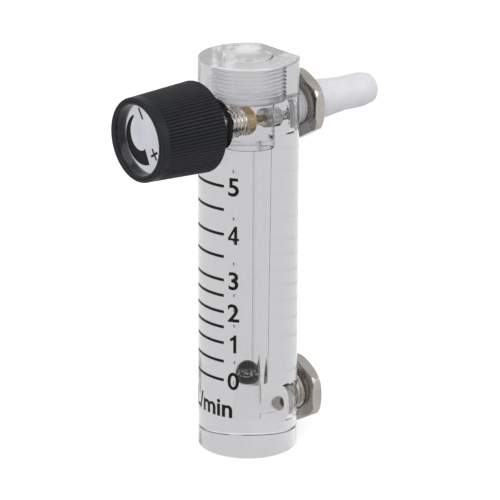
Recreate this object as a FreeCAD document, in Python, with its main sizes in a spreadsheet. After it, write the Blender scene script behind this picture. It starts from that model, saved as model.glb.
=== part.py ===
"""Oxygen flowmeter: a clear D-section column with a tapered float bore, a needle valve with
a ribbed knob in front, and two threaded ports with panel nuts behind.

Frame, in millimetres: Z runs up the column, its bottom face is z = 0, the knob points to -Y
and the ports to +Y. Turned pieces are drawn round their own Z axis, with the distance from
the column's axis as height, and are then laid along -Y (valve side) or +Y (port side).
"""
import FreeCAD
import Part
import math
import os
import Sketcher

doc = FreeCAD.newDocument("OxygenFlowmeter")

# Driving dimensions: alias, value, meaning
SIZES = [
    ("body_radius", 12.5, "column, radius of the round side"),
    ("body_height", 101.5, "column, overall height"),
    ("flat_offset", 10.0, "column axis to the flat that meets the panel"),
    ("rim_chamfer", 0.3, "broken edge round the column's end faces"),
    ("inlet_height", 10.5, "bottom face to the inlet axis"),
    ("outlet_drop", 15.0, "top face down to the valve and outlet axis"),
    ("float_radius", 3.175, "float ball"),
    ("float_clearance", 0.13, "ball to bore at the zero mark"),
    ("taper_gain", 0.45, "growth of the bore's radius from the zero mark to the stop"),
    ("float_rise", 9.24, "inlet axis up to the resting ball's centre"),
    ("seat_gap", 0.05, "ball to the shoulder that it rests on"),
    ("feed_radius", 2.2, "passage under the ball"),
    ("feed_pocket", 0.7, "inlet passage down to the drill's floor"),
    ("stop_ledge", 0.45, "ledge that carries the upper float stop"),
    ("stop_thickness", 2.0, "upper float stop"),
    ("stop_hole_radius", 2.1, "opening in the upper float stop"),
    ("stop_to_valve", 1.2, "upper float stop to the bonnet's hole"),
    ("stop_clearance", 0.04, "upper float stop to its counterbore"),
    ("thread_clearance", 0.1, "threaded shank to the plain wall of its hole"),
    ("plug_radius", 6.0, "M12 top plug"),
    ("plug_land", 0.35, "bonnet's hole up to the plug's floor"),
    ("plug_seal_radius", 0.8, "section radius of the plug's sealing ring"),
    ("seal_gap", 0.03, "sealing ring to the faces beside it"),
    ("port_floor", 5.6, "column axis to the floor of each port's hole"),
    ("port_radius", 5.0, "M10 shank of each port"),
    ("port_seal_radius", 0.5, "section radius of each port's sealing ring"),
    ("inlet_passage_radius", 2.0, "cross passage behind the inlet"),
    ("outlet_passage_radius", 1.2, "cross passage in front of the outlet"),
    ("nut_gap", 4.6, "panel gap: flat to the near face of each nut"),
    ("nut_flats", 16.0, "panel nut across flats"),
    ("nut_thickness", 3.4, "panel nut"),
    ("nut_chamfer", 1.4, "fall of the nut's 30 degree corner chamfer"),
    ("nut_clearance", 0.06, "nut's hole to the shank"),
    ("nut_mouth", 0.35, "chamfer at each end of the nut's hole"),
    ("spout_shank_end", 22.4, "column axis to the end of the outlet's straight shank"),
    ("spout_neck_offset", 30.0, "column axis to the spout's narrowest place"),
    ("spout_neck_radius", 4.28, "spout at its neck"),
    ("spout_land_start", 33.2, "column axis to the start of the hose land"),
    ("spout_land_length", 2.6, "hose land"),
    ("spout_land_radius", 4.38, "hose land"),
    ("spout_end", 39.3, "column axis to the spout's tip"),
    ("spout_tip_radius", 3.9, "spout's tip before its rounding"),
    ("spout_tip_rounding", 1.2, "rounding of the spout's tip"),
    ("spout_bore_radius", 2.0, "bore through the spout"),
    ("inlet_end", 20.6, "column axis to the inlet fitting's end"),
    ("socket_radius", 3.0, "supply socket in the inlet fitting"),
    ("socket_depth", 9.0, "supply socket in the inlet fitting"),
    ("fitting_bore_radius", 2.0, "passage through the inlet fitting"),
    ("end_chamfer", 0.45, "broken edge at the ends of the shanks"),
    ("spot_face_offset", 10.3, "column axis to the spot face under the bonnet"),
    ("spot_face_margin", 0.8, "spot face beyond the hexagon's corners"),
    ("bonnet_thread_radius", 4.0, "M8 shank of the bonnet"),
    ("bonnet_tip", 1.0, "column axis to the bonnet's inner end"),
    ("bonnet_hole_margin", 0.5, "bonnet's inner end to the end of its hole"),
    ("bonnet_flats", 11.0, "bonnet hexagon across flats"),
    ("bonnet_hex_height", 3.35, "bonnet hexagon"),
    ("bonnet_chamfer", 0.5, "fall of the bonnet's 30 degree corner chamfer"),
    ("bonnet_turn", 18.0, "turn of the bonnet's hexagon about its axis, degrees"),
    ("washer_thickness", 0.85, "rubber washer under the bonnet"),
    ("washer_radius", 7.0, "rubber washer under the bonnet"),
    ("seat_offset", 3.4, "column axis to the valve seat's face"),
    ("seat_thickness", 1.6, "valve seat"),
    ("seat_radius", 2.5, "valve seat"),
    ("needle_reach", 1.2, "needle's point past the seat's face when shut"),
    ("needle_length", 4.4, "needle's cone"),
    ("needle_radius", 1.5, "needle at the cone's wide end"),
    ("needle_point_radius", 0.3, "needle's flat point"),
    ("shut_gap", 0.03, "needle to the seat when shut"),
    ("stem_thread_setback", 1.0, "bonnet's inner end to the spindle's thread when shut"),
    ("stem_thread_radius", 2.45, "spindle's thread"),
    ("stem_thread_length", 4.5, "spindle's thread"),
    ("stem_radius", 2.0, "spindle's stem"),
    ("stem_clearance", 0.05, "spindle to the bonnet and the knob's bush"),
    ("stem_travel", 2.0, "spindle's travel from shut to fully open"),
    ("travel_margin", 0.4, "room left behind the thread when fully open"),
    ("gland_land", 0.9, "bonnet's inner shoulder to its ring groove"),
    ("gland_ring_radius", 0.48, "section radius of the spindle's sealing ring"),
    ("gland_width", 1.2, "ring groove in the bonnet"),
    ("knob_gap", 1.2, "bonnet's hexagon to the knob's rear face when shut"),
    ("knob_length", 18.7, "knob"),
    ("knob_front_radius", 10.4, "knob at its front"),
    ("knob_rear_radius", 11.4, "knob at its rear"),
    ("lip_width", 0.95, "lip round the knob's front recess"),
    ("lip_rounding", 0.35, "rounding of the lip's edges"),
    ("rear_rounding", 0.3, "rounding of the skirt's rear edges"),
    ("recess_depth", 2.05, "knob's front recess"),
    ("label_thickness", 0.3, "label in the recess"),
    ("label_gap", 0.05, "label to the recess's wall"),
    ("web_thickness", 1.8, "knob's front wall"),
    ("skirt_thickness", 2.0, "knob's skirt"),
    ("hub_radius", 5.2, "knob's hub"),
    ("hub_setback", 0.8, "knob's rear face to the hub"),
    ("bush_radius", 3.5, "brass bush in the hub"),
    ("bush_length", 10.5, "brass bush in the hub"),
    ("bush_fit", 0.02, "bush to the hub's hole"),
    ("stem_cover", 1.0, "bush beyond the spindle's end"),
    ("rib_count", 78, "grooves round the knob"),
    ("rib_depth", 0.3, "groove between two ribs"),
    ("rib_groove_width", 0.56, "groove between two ribs, at the surface"),
    ("plain_band", 2.3, "smooth band behind the knob's front"),
    ("screw_radius", 1.5, "M3 set screw"),
    ("screw_length", 2.8, "M3 set screw"),
    ("screw_socket_flats", 1.5, "hexagon socket in the set screw"),
    ("screw_socket_depth", 1.2, "hexagon socket in the set screw"),
    ("screw_setback", 5.4, "knob's rear face to the set screw's axis"),
]

# Places worked out from the driving dimensions: alias, formula
PLACES = [
    ("outlet_height", "Sizes.body_height - Sizes.outlet_drop"),
    ("float_rest", "Sizes.inlet_height + Sizes.float_rise"),
    ("shoulder", "Sizes.inlet_height + Sizes.float_rise"
     " - sqrt((Sizes.float_radius + Sizes.seat_gap)^2 - Sizes.feed_radius^2)"),
    ("feed_floor", "Sizes.inlet_height - Sizes.inlet_passage_radius - Sizes.feed_pocket"),
    ("bore_low_radius", "Sizes.float_radius + Sizes.float_clearance"),
    ("bore_high_radius", "bore_low_radius + Sizes.taper_gain"),
    ("bonnet_hole_radius", "Sizes.bonnet_thread_radius + Sizes.thread_clearance"),
    ("stop_top", "outlet_height - bonnet_hole_radius - Sizes.stop_to_valve"),
    ("stop_bottom", "stop_top - Sizes.stop_thickness"),
    ("chamber_radius", "bore_high_radius + Sizes.stop_ledge"),
    ("stop_radius", "chamber_radius - Sizes.stop_clearance"),
    ("plug_floor", "outlet_height + bonnet_hole_radius + Sizes.plug_land"),
    ("plug_hole_radius", "Sizes.plug_radius + Sizes.thread_clearance"),
    ("plug_bottom", "plug_floor + 2 * Sizes.plug_seal_radius + 2 * Sizes.seal_gap"),
    ("plug_seal_mean", "(chamber_radius + plug_hole_radius) / 2"),
    ("plug_seal_height", "plug_floor + Sizes.plug_seal_radius + Sizes.seal_gap"),
    ("port_hole_radius", "Sizes.port_radius + Sizes.thread_clearance"),
    ("port_seal_mean", "Sizes.port_radius - Sizes.port_seal_radius - Sizes.end_chamfer"),
    ("port_seal_offset", "Sizes.port_floor + Sizes.port_seal_radius + Sizes.seal_gap"),
    ("shank_start", "Sizes.port_floor + 2 * Sizes.port_seal_radius + 2 * Sizes.seal_gap"),
    ("shank_chamfer_end", "shank_start + Sizes.end_chamfer"),
    ("shank_tip_radius", "Sizes.port_radius - Sizes.end_chamfer"),
    ("nut_near", "Sizes.flat_offset + Sizes.nut_gap"),
    ("nut_far", "nut_near + Sizes.nut_thickness"),
    ("nut_corner_radius", "Sizes.nut_flats / sqrt(3)"),
    ("nut_hole_radius", "Sizes.port_radius + Sizes.nut_clearance"),
    ("nut_mouth_radius", "nut_hole_radius + Sizes.nut_mouth"),
    ("nut_near_mouth", "nut_near + Sizes.nut_mouth"),
    ("nut_far_mouth", "nut_far - Sizes.nut_mouth"),
    ("spout_land_end", "Sizes.spout_land_start + Sizes.spout_land_length"),
    ("inlet_chamfer_start", "Sizes.inlet_end - Sizes.end_chamfer"),
    ("socket_floor", "Sizes.inlet_end - Sizes.socket_depth"),
    ("bonnet_corner_radius", "Sizes.bonnet_flats / sqrt(3)"),
    ("spot_face_radius", "bonnet_corner_radius + Sizes.spot_face_margin"),
    ("bonnet_hole_end", "Sizes.bonnet_tip - Sizes.bonnet_hole_margin"),
    ("bonnet_near", "Sizes.spot_face_offset + Sizes.washer_thickness"),
    ("bonnet_far", "bonnet_near + Sizes.bonnet_hex_height"),
    ("bonnet_tip_radius", "Sizes.bonnet_thread_radius - Sizes.end_chamfer"),
    ("bonnet_tip_chamfer", "Sizes.bonnet_tip + Sizes.end_chamfer"),
    ("seat_back", "Sizes.seat_offset + Sizes.seat_thickness"),
    ("seat_pocket_radius", "Sizes.seat_radius + Sizes.bush_fit"),
    ("orifice_radius", "Sizes.needle_point_radius + Sizes.shut_gap"
     " + (Sizes.needle_radius - Sizes.needle_point_radius)"
     " * Sizes.needle_reach / Sizes.needle_length"),
    ("needle_tip", "-(Sizes.seat_offset + Sizes.needle_reach)"),
    ("needle_base", "needle_tip + Sizes.needle_length"),
    ("stem_thread_start", "Sizes.bonnet_tip + Sizes.stem_thread_setback"),
    ("stem_thread_end", "stem_thread_start + Sizes.stem_thread_length"),
    ("thread_bore_radius", "Sizes.stem_thread_radius + Sizes.stem_clearance"),
    ("stem_bore_radius", "Sizes.stem_radius + Sizes.stem_clearance"),
    ("bonnet_shoulder", "stem_thread_end + Sizes.stem_travel + Sizes.travel_margin"),
    ("gland_start", "bonnet_shoulder + Sizes.gland_land"),
    ("gland_end", "gland_start + Sizes.gland_width"),
    ("gland_radius", "stem_bore_radius + 2 * Sizes.gland_ring_radius"),
    ("gland_ring_mean", "stem_bore_radius + Sizes.gland_ring_radius - Sizes.seal_gap / 2"),
    ("gland_middle", "(gland_start + gland_end) / 2"),
    ("knob_rear", "bonnet_far + Sizes.knob_gap"),
    ("knob_front", "knob_rear + Sizes.knob_length"),
    ("recess_radius", "Sizes.knob_front_radius - Sizes.lip_width"),
    ("recess_floor", "knob_front - Sizes.recess_depth"),
    ("label_radius", "recess_radius - Sizes.label_gap"),
    ("label_face", "recess_floor + Sizes.label_thickness"),
    ("web_back", "recess_floor - Sizes.web_thickness"),
    ("skirt_rear_radius", "Sizes.knob_rear_radius - Sizes.skirt_thickness"),
    ("skirt_front_radius", "Sizes.knob_front_radius - Sizes.skirt_thickness"),
    ("hub_rear", "knob_rear + Sizes.hub_setback"),
    ("bush_front", "hub_rear + Sizes.bush_length"),
    ("hub_hole_radius", "Sizes.bush_radius + Sizes.bush_fit"),
    ("spindle_end", "bush_front - Sizes.stem_cover"),
    ("rib_end", "knob_front - Sizes.plain_band"),
    ("knob_slope", "(Sizes.knob_rear_radius - Sizes.knob_front_radius) / Sizes.knob_length"),
    ("rib_end_radius", "Sizes.knob_front_radius + knob_slope * Sizes.plain_band"),
    ("screw_offset", "knob_rear + Sizes.screw_setback"),
    ("screw_hole_radius", "Sizes.screw_radius + Sizes.stem_clearance"),
    ("screw_socket_corner", "Sizes.screw_socket_flats / sqrt(3)"),
    ("screw_tip", "Sizes.stem_radius + Sizes.stem_clearance"),
]

VALVE_SIDE = FreeCAD.Rotation(FreeCAD.Vector(1, 0, 0), 90)
PORT_SIDE = FreeCAD.Rotation(FreeCAD.Vector(1, 0, 0), -90)
UPRIGHT = FreeCAD.Rotation()

sub_parts = []


def fill_sheet(name, rows, prefix):
    """Write one spreadsheet: value or formula, alias and meaning, one row each."""
    table = doc.addObject("Spreadsheet::Sheet", name)
    for row, entry in enumerate(rows, start=1):
        table.set(f"A{row}", entry[0])
        table.set(f"B{row}", prefix + str(entry[1]))
        table.setAlias(f"B{row}", entry[0])
        if len(entry) > 2:
            table.set(f"C{row}", entry[2])
    return table


sizes = fill_sheet("Sizes", SIZES, "")
doc.recompute()
places = fill_sheet("Places", PLACES, "=")
doc.recompute()

SIZE_NAMES = {entry[0] for entry in SIZES}


def value_of(alias):
    """Present value of a named dimension."""
    return float(getattr(sizes if alias in SIZE_NAMES else places, alias))


def path_of(alias):
    """Expression that reads a named dimension."""
    return ("Sizes." if alias in SIZE_NAMES else "Places.") + alias


def keep(piece, label, rotation=UPRIGHT, height=None):
    """Give a sub-part its name, its lie and its height on the column, and list it."""
    piece.Label = label
    piece.Placement = FreeCAD.Placement(FreeCAD.Vector(), rotation)
    if height:
        piece.setExpression("Placement.Base.z", path_of(height))
    sub_parts.append(piece)
    return piece


def new_body(label, rotation=UPRIGHT, height=None):
    """Empty body of one sub-part."""
    return keep(doc.addObject("PartDesign::Body", label), label, rotation, height)


def new_sketch(body, name, plane, offset=None):
    """Sketch on one of the body's own origin planes, moved along its normal by a formula."""
    sketch = body.newObject("Sketcher::SketchObject", name)
    origin_plane = [f for f in body.Origin.OriginFeatures if f.Role == plane][0]
    sketch.AttachmentSupport = [(origin_plane, "")]
    sketch.MapMode = "FlatFace"
    if offset:
        sketch.setExpression("AttachmentOffset.Base.z", offset)
    return sketch


def place_point(sketch, geometry, end, across, up):
    """Tie a point of the sketch to two named dimensions; None puts it on the axis."""
    for kind, axis, alias in (("DistanceX", -2, across), ("DistanceY", -1, up)):
        if alias is None:
            sketch.addConstraint(Sketcher.Constraint("PointOnObject", geometry, end, axis))
            continue
        rule = Sketcher.Constraint(kind, -1, 1, geometry, end, value_of(alias))
        index = sketch.addConstraint(rule)
        sketch.setExpression(f"Constraints[{index}]", path_of(alias))


def outline(sketch, corners):
    """Closed outline of straight edges through corners that are pairs of aliases."""
    points = [FreeCAD.Vector(value_of(u) if u else 0, value_of(v) if v else 0, 0)
              for u, v in corners]
    count = len(points)
    for i in range(count):
        sketch.addGeometry(Part.LineSegment(points[i], points[(i + 1) % count]), False)
    for i in range(count):
        sketch.addConstraint(Sketcher.Constraint("Coincident", i, 2, (i + 1) % count, 1))
    for i, (across, up) in enumerate(corners):
        place_point(sketch, i, 1, across, up)


def turn(body, name, corners, kind="Revolution"):
    """Revolve an outline of (radius, height) corners round the body's Z axis."""
    sketch = new_sketch(body, name + "_outline", "XZ_Plane")
    outline(sketch, corners)
    feature = body.newObject("PartDesign::" + kind, name)
    feature.Profile = sketch
    feature.ReferenceAxis = (sketch, ["V_Axis"])
    feature.Angle = 360
    return feature


def circle_sketch(body, name, plane, offset, up, radius):
    """Sketch of one circle on the plane's second axis, at a named height."""
    sketch = new_sketch(body, name, plane, offset)
    centre = FreeCAD.Vector(0, value_of(up) if up else 0, 0)
    sketch.addGeometry(Part.Circle(centre, FreeCAD.Vector(0, 0, 1), value_of(radius)), False)
    place_point(sketch, 0, 3, None, up)
    index = sketch.addConstraint(Sketcher.Constraint("Radius", 0, value_of(radius)))
    sketch.setExpression(f"Constraints[{index}]", path_of(radius))
    return sketch


def drill(body, name, plane, offset, up, radius, depth, outward):
    """Round hole from an offset origin plane: outward runs along the plane's normal."""
    sketch = circle_sketch(body, name + "_circle", plane, offset, up, radius)
    pocket = body.newObject("PartDesign::Pocket", name)
    pocket.Profile = sketch
    pocket.Reversed = outward
    pocket.setExpression("Length", depth)
    return pocket


def hexagon_sketch(body, name, offset, corner_radius, turn_degrees="30"):
    """Regular hexagon round the Z axis, with its first corner at the given turn from +X."""
    sketch = new_sketch(body, name, "XY_Plane", offset)
    reach = value_of(corner_radius)
    start = value_of(turn_degrees) if turn_degrees in SIZE_NAMES else float(turn_degrees)
    points = []
    for i in range(6):
        angle = math.radians(start + 60 * i)
        points.append(FreeCAD.Vector(reach * math.cos(angle), reach * math.sin(angle), 0))
    for i in range(6):
        sketch.addGeometry(Part.LineSegment(points[i], points[(i + 1) % 6]), False)
    centre_line = Part.LineSegment(FreeCAD.Vector(), points[0])
    sketch.addGeometry(centre_line, True)
    sketch.addGeometry(Part.Circle(FreeCAD.Vector(), FreeCAD.Vector(0, 0, 1), reach), True)
    for i in range(6):
        sketch.addConstraint(Sketcher.Constraint("Coincident", i, 2, (i + 1) % 6, 1))
        sketch.addConstraint(Sketcher.Constraint("PointOnObject", i, 1, 7))
    for i in range(5):
        sketch.addConstraint(Sketcher.Constraint("Equal", i, i + 1))
    sketch.addConstraint(Sketcher.Constraint("Coincident", 7, 3, -1, 1))
    sketch.addConstraint(Sketcher.Constraint("Coincident", 6, 1, -1, 1))
    sketch.addConstraint(Sketcher.Constraint("Coincident", 6, 2, 0, 1))
    size = sketch.addConstraint(Sketcher.Constraint("Radius", 7, reach))
    sketch.setExpression(f"Constraints[{size}]", path_of(corner_radius))
    lie = sketch.addConstraint(Sketcher.Constraint("Angle", -1, 1, 6, 1, math.radians(start)))
    if turn_degrees in SIZE_NAMES:
        sketch.setExpression(f"Constraints[{lie}]", path_of(turn_degrees) + " * 1 deg")
    return sketch


def pad_hexagon(body, name, near, height, corner_radius, turn_degrees="30"):
    """Hexagonal prism from a named distance along the body's axis."""
    sketch = hexagon_sketch(body, name + "_outline", path_of(near), corner_radius, turn_degrees)
    pad = body.newObject("PartDesign::Pad", name)
    pad.Profile = sketch
    pad.setExpression("Length", path_of(height))
    return pad


def chamfer_corners(body, name, face, corner_radius, fall, sense):
    """Turned 30 degree chamfer that takes the corners off one face of a hexagon.

    face is the face's distance along the axis, sense +1 for the far face and -1 for the near.
    """
    sketch = new_sketch(body, name + "_outline", "XZ_Plane")
    reach = value_of(corner_radius)
    height = value_of(face)
    low = value_of(fall)
    run = low * math.sqrt(3)
    corners = [(reach - run, height), (reach, height - sense * low), (reach, height)]
    points = [FreeCAD.Vector(x, y, 0) for x, y in corners]
    for i in range(3):
        sketch.addGeometry(Part.LineSegment(points[i], points[(i + 1) % 3]), False)
    for i in range(3):
        sketch.addConstraint(Sketcher.Constraint("Coincident", i, 2, (i + 1) % 3, 1))
    radius = path_of(corner_radius)
    rules = [
        ("DistanceX", 0, corners[0][0], f"{radius} - {path_of(fall)} * sqrt(3)"),
        ("DistanceY", 0, height, path_of(face)),
        ("DistanceX", 1, reach, radius),
        ("DistanceY", 1, height - sense * low, f"{path_of(face)} - {sense} * {path_of(fall)}"),
        ("DistanceX", 2, reach, radius),
        ("DistanceY", 2, height, path_of(face)),
    ]
    for kind, index, value, formula in rules:
        rule = sketch.addConstraint(Sketcher.Constraint(kind, -1, 1, index, 1, value))
        sketch.setExpression(f"Constraints[{rule}]", formula)
    groove = body.newObject("PartDesign::Groove", name)
    groove.Profile = sketch
    groove.ReferenceAxis = (sketch, ["V_Axis"])
    groove.Angle = 360
    return groove


def circles_at(body, height, radii=None):
    """Names of the circular edges at a height on the body's axis, of given radii if stated."""
    doc.recompute()
    names = []
    for index, edge in enumerate(body.Tip.Shape.Edges, start=1):
        curve = edge.Curve
        if not isinstance(curve, Part.Circle) or abs(curve.Center.z - height) > 1e-4:
            continue
        if radii is None or min(abs(curve.Radius - r) for r in radii) < 1e-4:
            names.append(f"Edge{index}")
    return names


def round_edges(body, name, edges, radius):
    """Fillet the named edges of the body's tip."""
    base = body.Tip
    fillet = body.newObject("PartDesign::Fillet", name)
    fillet.Base = (base, edges)
    fillet.setExpression("Radius", path_of(radius))
    return fillet


# Column: D-section, chamfered ends, float bore, valve hole and two port holes


def make_meter_body():
    """Clear column with every hole that is drilled in it."""
    body = new_body("meter_body")
    section = new_sketch(body, "column_section", "XY_Plane")
    radius = value_of("body_radius")
    flat = value_of("flat_offset")
    half_chord = math.sqrt(radius**2 - flat**2)
    right = math.atan2(flat, half_chord)
    disc = Part.Circle(FreeCAD.Vector(), FreeCAD.Vector(0, 0, 1), radius)
    section.addGeometry(Part.ArcOfCircle(disc, math.pi - right, 2 * math.pi + right), False)
    chord = (FreeCAD.Vector(half_chord, flat, 0), FreeCAD.Vector(-half_chord, flat, 0))
    section.addGeometry(Part.LineSegment(*chord), False)
    section.addConstraint(Sketcher.Constraint("Coincident", 0, 3, -1, 1))
    section.addConstraint(Sketcher.Constraint("Coincident", 0, 2, 1, 1))
    section.addConstraint(Sketcher.Constraint("Coincident", 0, 1, 1, 2))
    section.addConstraint(Sketcher.Constraint("Horizontal", 1))
    size = section.addConstraint(Sketcher.Constraint("Radius", 0, radius))
    section.setExpression(f"Constraints[{size}]", path_of("body_radius"))
    offset = section.addConstraint(Sketcher.Constraint("DistanceY", -1, 1, 1, 1, flat))
    section.setExpression(f"Constraints[{offset}]", path_of("flat_offset"))
    column = body.newObject("PartDesign::Pad", "column")
    column.Profile = section
    column.setExpression("Length", path_of("body_height"))
    doc.recompute()
    rims = []
    for index, edge in enumerate(column.Shape.Edges, start=1):
        heights = {round(vertex.Point.z, 3) for vertex in edge.Vertexes}
        if len(heights) == 1:
            rims.append(f"Edge{index}")
    chamfer = body.newObject("PartDesign::Chamfer", "rims")
    chamfer.Base = (column, rims)
    chamfer.setExpression("Size", path_of("rim_chamfer"))
    doc.recompute()
    turn(body, "float_bore", [
        (None, "feed_floor"),
        ("feed_radius", "feed_floor"),
        ("feed_radius", "shoulder"),
        ("bore_low_radius", "shoulder"),
        ("bore_high_radius", "stop_bottom"),
        ("chamber_radius", "stop_bottom"),
        ("chamber_radius", "plug_floor"),
        ("plug_hole_radius", "plug_floor"),
        ("plug_hole_radius", "body_height"),
        (None, "body_height"),
    ], "Groove")
    beyond = "Sizes.body_radius"
    drill(body, "bonnet_hole", "XZ_Plane", "Places.bonnet_hole_end", "outlet_height",
          "bonnet_hole_radius", beyond, True)
    drill(body, "bonnet_spot_face", "XZ_Plane", "Sizes.spot_face_offset", "outlet_height",
          "spot_face_radius", beyond, True)
    drill(body, "seat_pocket", "XZ_Plane", None, "outlet_height",
          "seat_pocket_radius", "Places.seat_back", False)
    drill(body, "outlet_passage", "XZ_Plane", "-Places.seat_back", "outlet_height",
          "outlet_passage_radius", beyond, False)
    drill(body, "outlet_hole", "XZ_Plane", "-Sizes.port_floor", "outlet_height",
          "port_hole_radius", beyond, False)
    drill(body, "inlet_passage", "XZ_Plane", None, "inlet_height",
          "inlet_passage_radius", beyond, False)
    drill(body, "inlet_hole", "XZ_Plane", "-Sizes.port_floor", "inlet_height",
          "port_hole_radius", beyond, False)


def make_ring(label, mean, section, rotation, height, along):
    """Round sealing ring whose centre lies a named distance along its axis."""
    ring = doc.addObject("Part::Torus", label)
    ring.setExpression("Radius1", path_of(mean))
    ring.setExpression("Radius2", path_of(section))
    keep(ring, label, rotation, height)
    if rotation == UPRIGHT:
        ring.setExpression("Placement.Base.z", path_of(along))
    else:
        sense = "-" if rotation == VALVE_SIDE else ""
        ring.setExpression("Placement.Base.y", sense + path_of(along))


def make_top_closure():
    """Plug that closes the bore, and the sealing ring under it."""
    plug = new_body("top_plug")
    turn(plug, "plug", [
        (None, "plug_bottom"),
        ("plug_radius", "plug_bottom"),
        ("plug_radius", "body_height"),
        (None, "body_height"),
    ])
    bottom = circles_at(plug, value_of("plug_bottom"))
    round_edges(plug, "plug_edge", bottom, "rim_chamfer")
    make_ring("plug_seal", "plug_seal_mean", "plug_seal_radius", UPRIGHT, None,
              "plug_seal_height")


def make_float():
    """Ball that rests on the bore's shoulder, and the stop above its travel."""
    ball = doc.addObject("Part::Sphere", "float_ball")
    ball.setExpression("Radius", path_of("float_radius"))
    keep(ball, "float_ball", UPRIGHT, "float_rest")
    stop = new_body("upper_float_stop")
    turn(stop, "stop", [
        ("stop_hole_radius", "stop_bottom"),
        ("stop_radius", "stop_bottom"),
        ("stop_radius", "stop_top"),
        ("stop_hole_radius", "stop_top"),
    ])


# Needle valve, drawn from the column's axis towards the knob


def make_bonnet():
    """Hexagon-headed bonnet screwed into the column, with its washer and inner ring."""
    bonnet = new_body("valve_bonnet", VALVE_SIDE, "outlet_height")
    turn(bonnet, "shank", [
        (None, "bonnet_tip"),
        ("bonnet_tip_radius", "bonnet_tip"),
        ("bonnet_thread_radius", "bonnet_tip_chamfer"),
        ("bonnet_thread_radius", "bonnet_near"),
        (None, "bonnet_near"),
    ])
    pad_hexagon(bonnet, "hexagon", "bonnet_near", "bonnet_hex_height",
                "bonnet_corner_radius", "bonnet_turn")
    chamfer_corners(bonnet, "far_chamfer", "bonnet_far", "bonnet_corner_radius",
                    "bonnet_chamfer", 1)
    turn(bonnet, "stepped_bore", [
        (None, "bonnet_tip"),
        ("thread_bore_radius", "bonnet_tip"),
        ("thread_bore_radius", "bonnet_shoulder"),
        ("stem_bore_radius", "bonnet_shoulder"),
        ("stem_bore_radius", "gland_start"),
        ("gland_radius", "gland_start"),
        ("gland_radius", "gland_end"),
        ("stem_bore_radius", "gland_end"),
        ("stem_bore_radius", "bonnet_far"),
        (None, "bonnet_far"),
    ], "Groove")
    washer = new_body("bonnet_washer", VALVE_SIDE, "outlet_height")
    turn(washer, "washer", [
        ("bonnet_hole_radius", "spot_face_offset"),
        ("washer_radius", "spot_face_offset"),
        ("washer_radius", "bonnet_near"),
        ("bonnet_hole_radius", "bonnet_near"),
    ])
    make_ring("spindle_seal", "gland_ring_mean", "gland_ring_radius", VALVE_SIDE,
              "outlet_height", "gland_middle")


def make_spindle():
    """Needle, thread and stem turned from one bar, and the seat that the needle shuts."""
    spindle = new_body("valve_spindle", VALVE_SIDE, "outlet_height")
    turn(spindle, "spindle", [
        (None, "needle_tip"),
        ("needle_point_radius", "needle_tip"),
        ("needle_radius", "needle_base"),
        ("needle_radius", "stem_thread_start"),
        ("stem_thread_radius", "stem_thread_start"),
        ("stem_thread_radius", "stem_thread_end"),
        ("stem_radius", "stem_thread_end"),
        ("stem_radius", "spindle_end"),
        (None, "spindle_end"),
    ])
    seat = new_body("valve_seat", PORT_SIDE, "outlet_height")
    turn(seat, "seat", [
        ("orifice_radius", "seat_offset"),
        ("seat_radius", "seat_offset"),
        ("seat_radius", "seat_back"),
        ("orifice_radius", "seat_back"),
    ])


# Knob: skirt, front wall with its recess, hub, and a ring of lengthwise grooves


def groove_end(body, name, along, radius):
    """Triangle across the skirt's wall: one end of the wedge that cuts a groove."""
    sketch = new_sketch(body, name, "XY_Plane", path_of(along))
    depth = value_of("rib_depth")
    half = value_of("rib_groove_width") / 2
    surface = value_of(radius)
    low = FreeCAD.Vector(surface - depth, 0, 0)
    left = FreeCAD.Vector(surface + depth, 2 * half, 0)
    right = FreeCAD.Vector(surface + depth, -2 * half, 0)
    for start, end in ((low, left), (left, right), (right, low)):
        sketch.addGeometry(Part.LineSegment(start, end), False)
    for i in range(3):
        sketch.addConstraint(Sketcher.Constraint("Coincident", i, 2, (i + 1) % 3, 1))
    sketch.addConstraint(Sketcher.Constraint("PointOnObject", 0, 1, -1))
    sketch.addConstraint(Sketcher.Constraint("Symmetric", 1, 1, 1, 2, -1))
    wall = path_of(radius)
    rules = [
        ("DistanceX", -1, 1, 0, 1, surface - depth, f"{wall} - Sizes.rib_depth"),
        ("DistanceX", -1, 1, 1, 1, surface + depth, f"{wall} + Sizes.rib_depth"),
        ("DistanceY", 1, 2, 1, 1, 4 * half, "2 * Sizes.rib_groove_width"),
    ]
    for kind, first, first_end, second, second_end, value, formula in rules:
        rule = Sketcher.Constraint(kind, first, first_end, second, second_end, value)
        index = sketch.addConstraint(rule)
        sketch.setExpression(f"Constraints[{index}]", formula)
    return sketch


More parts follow.
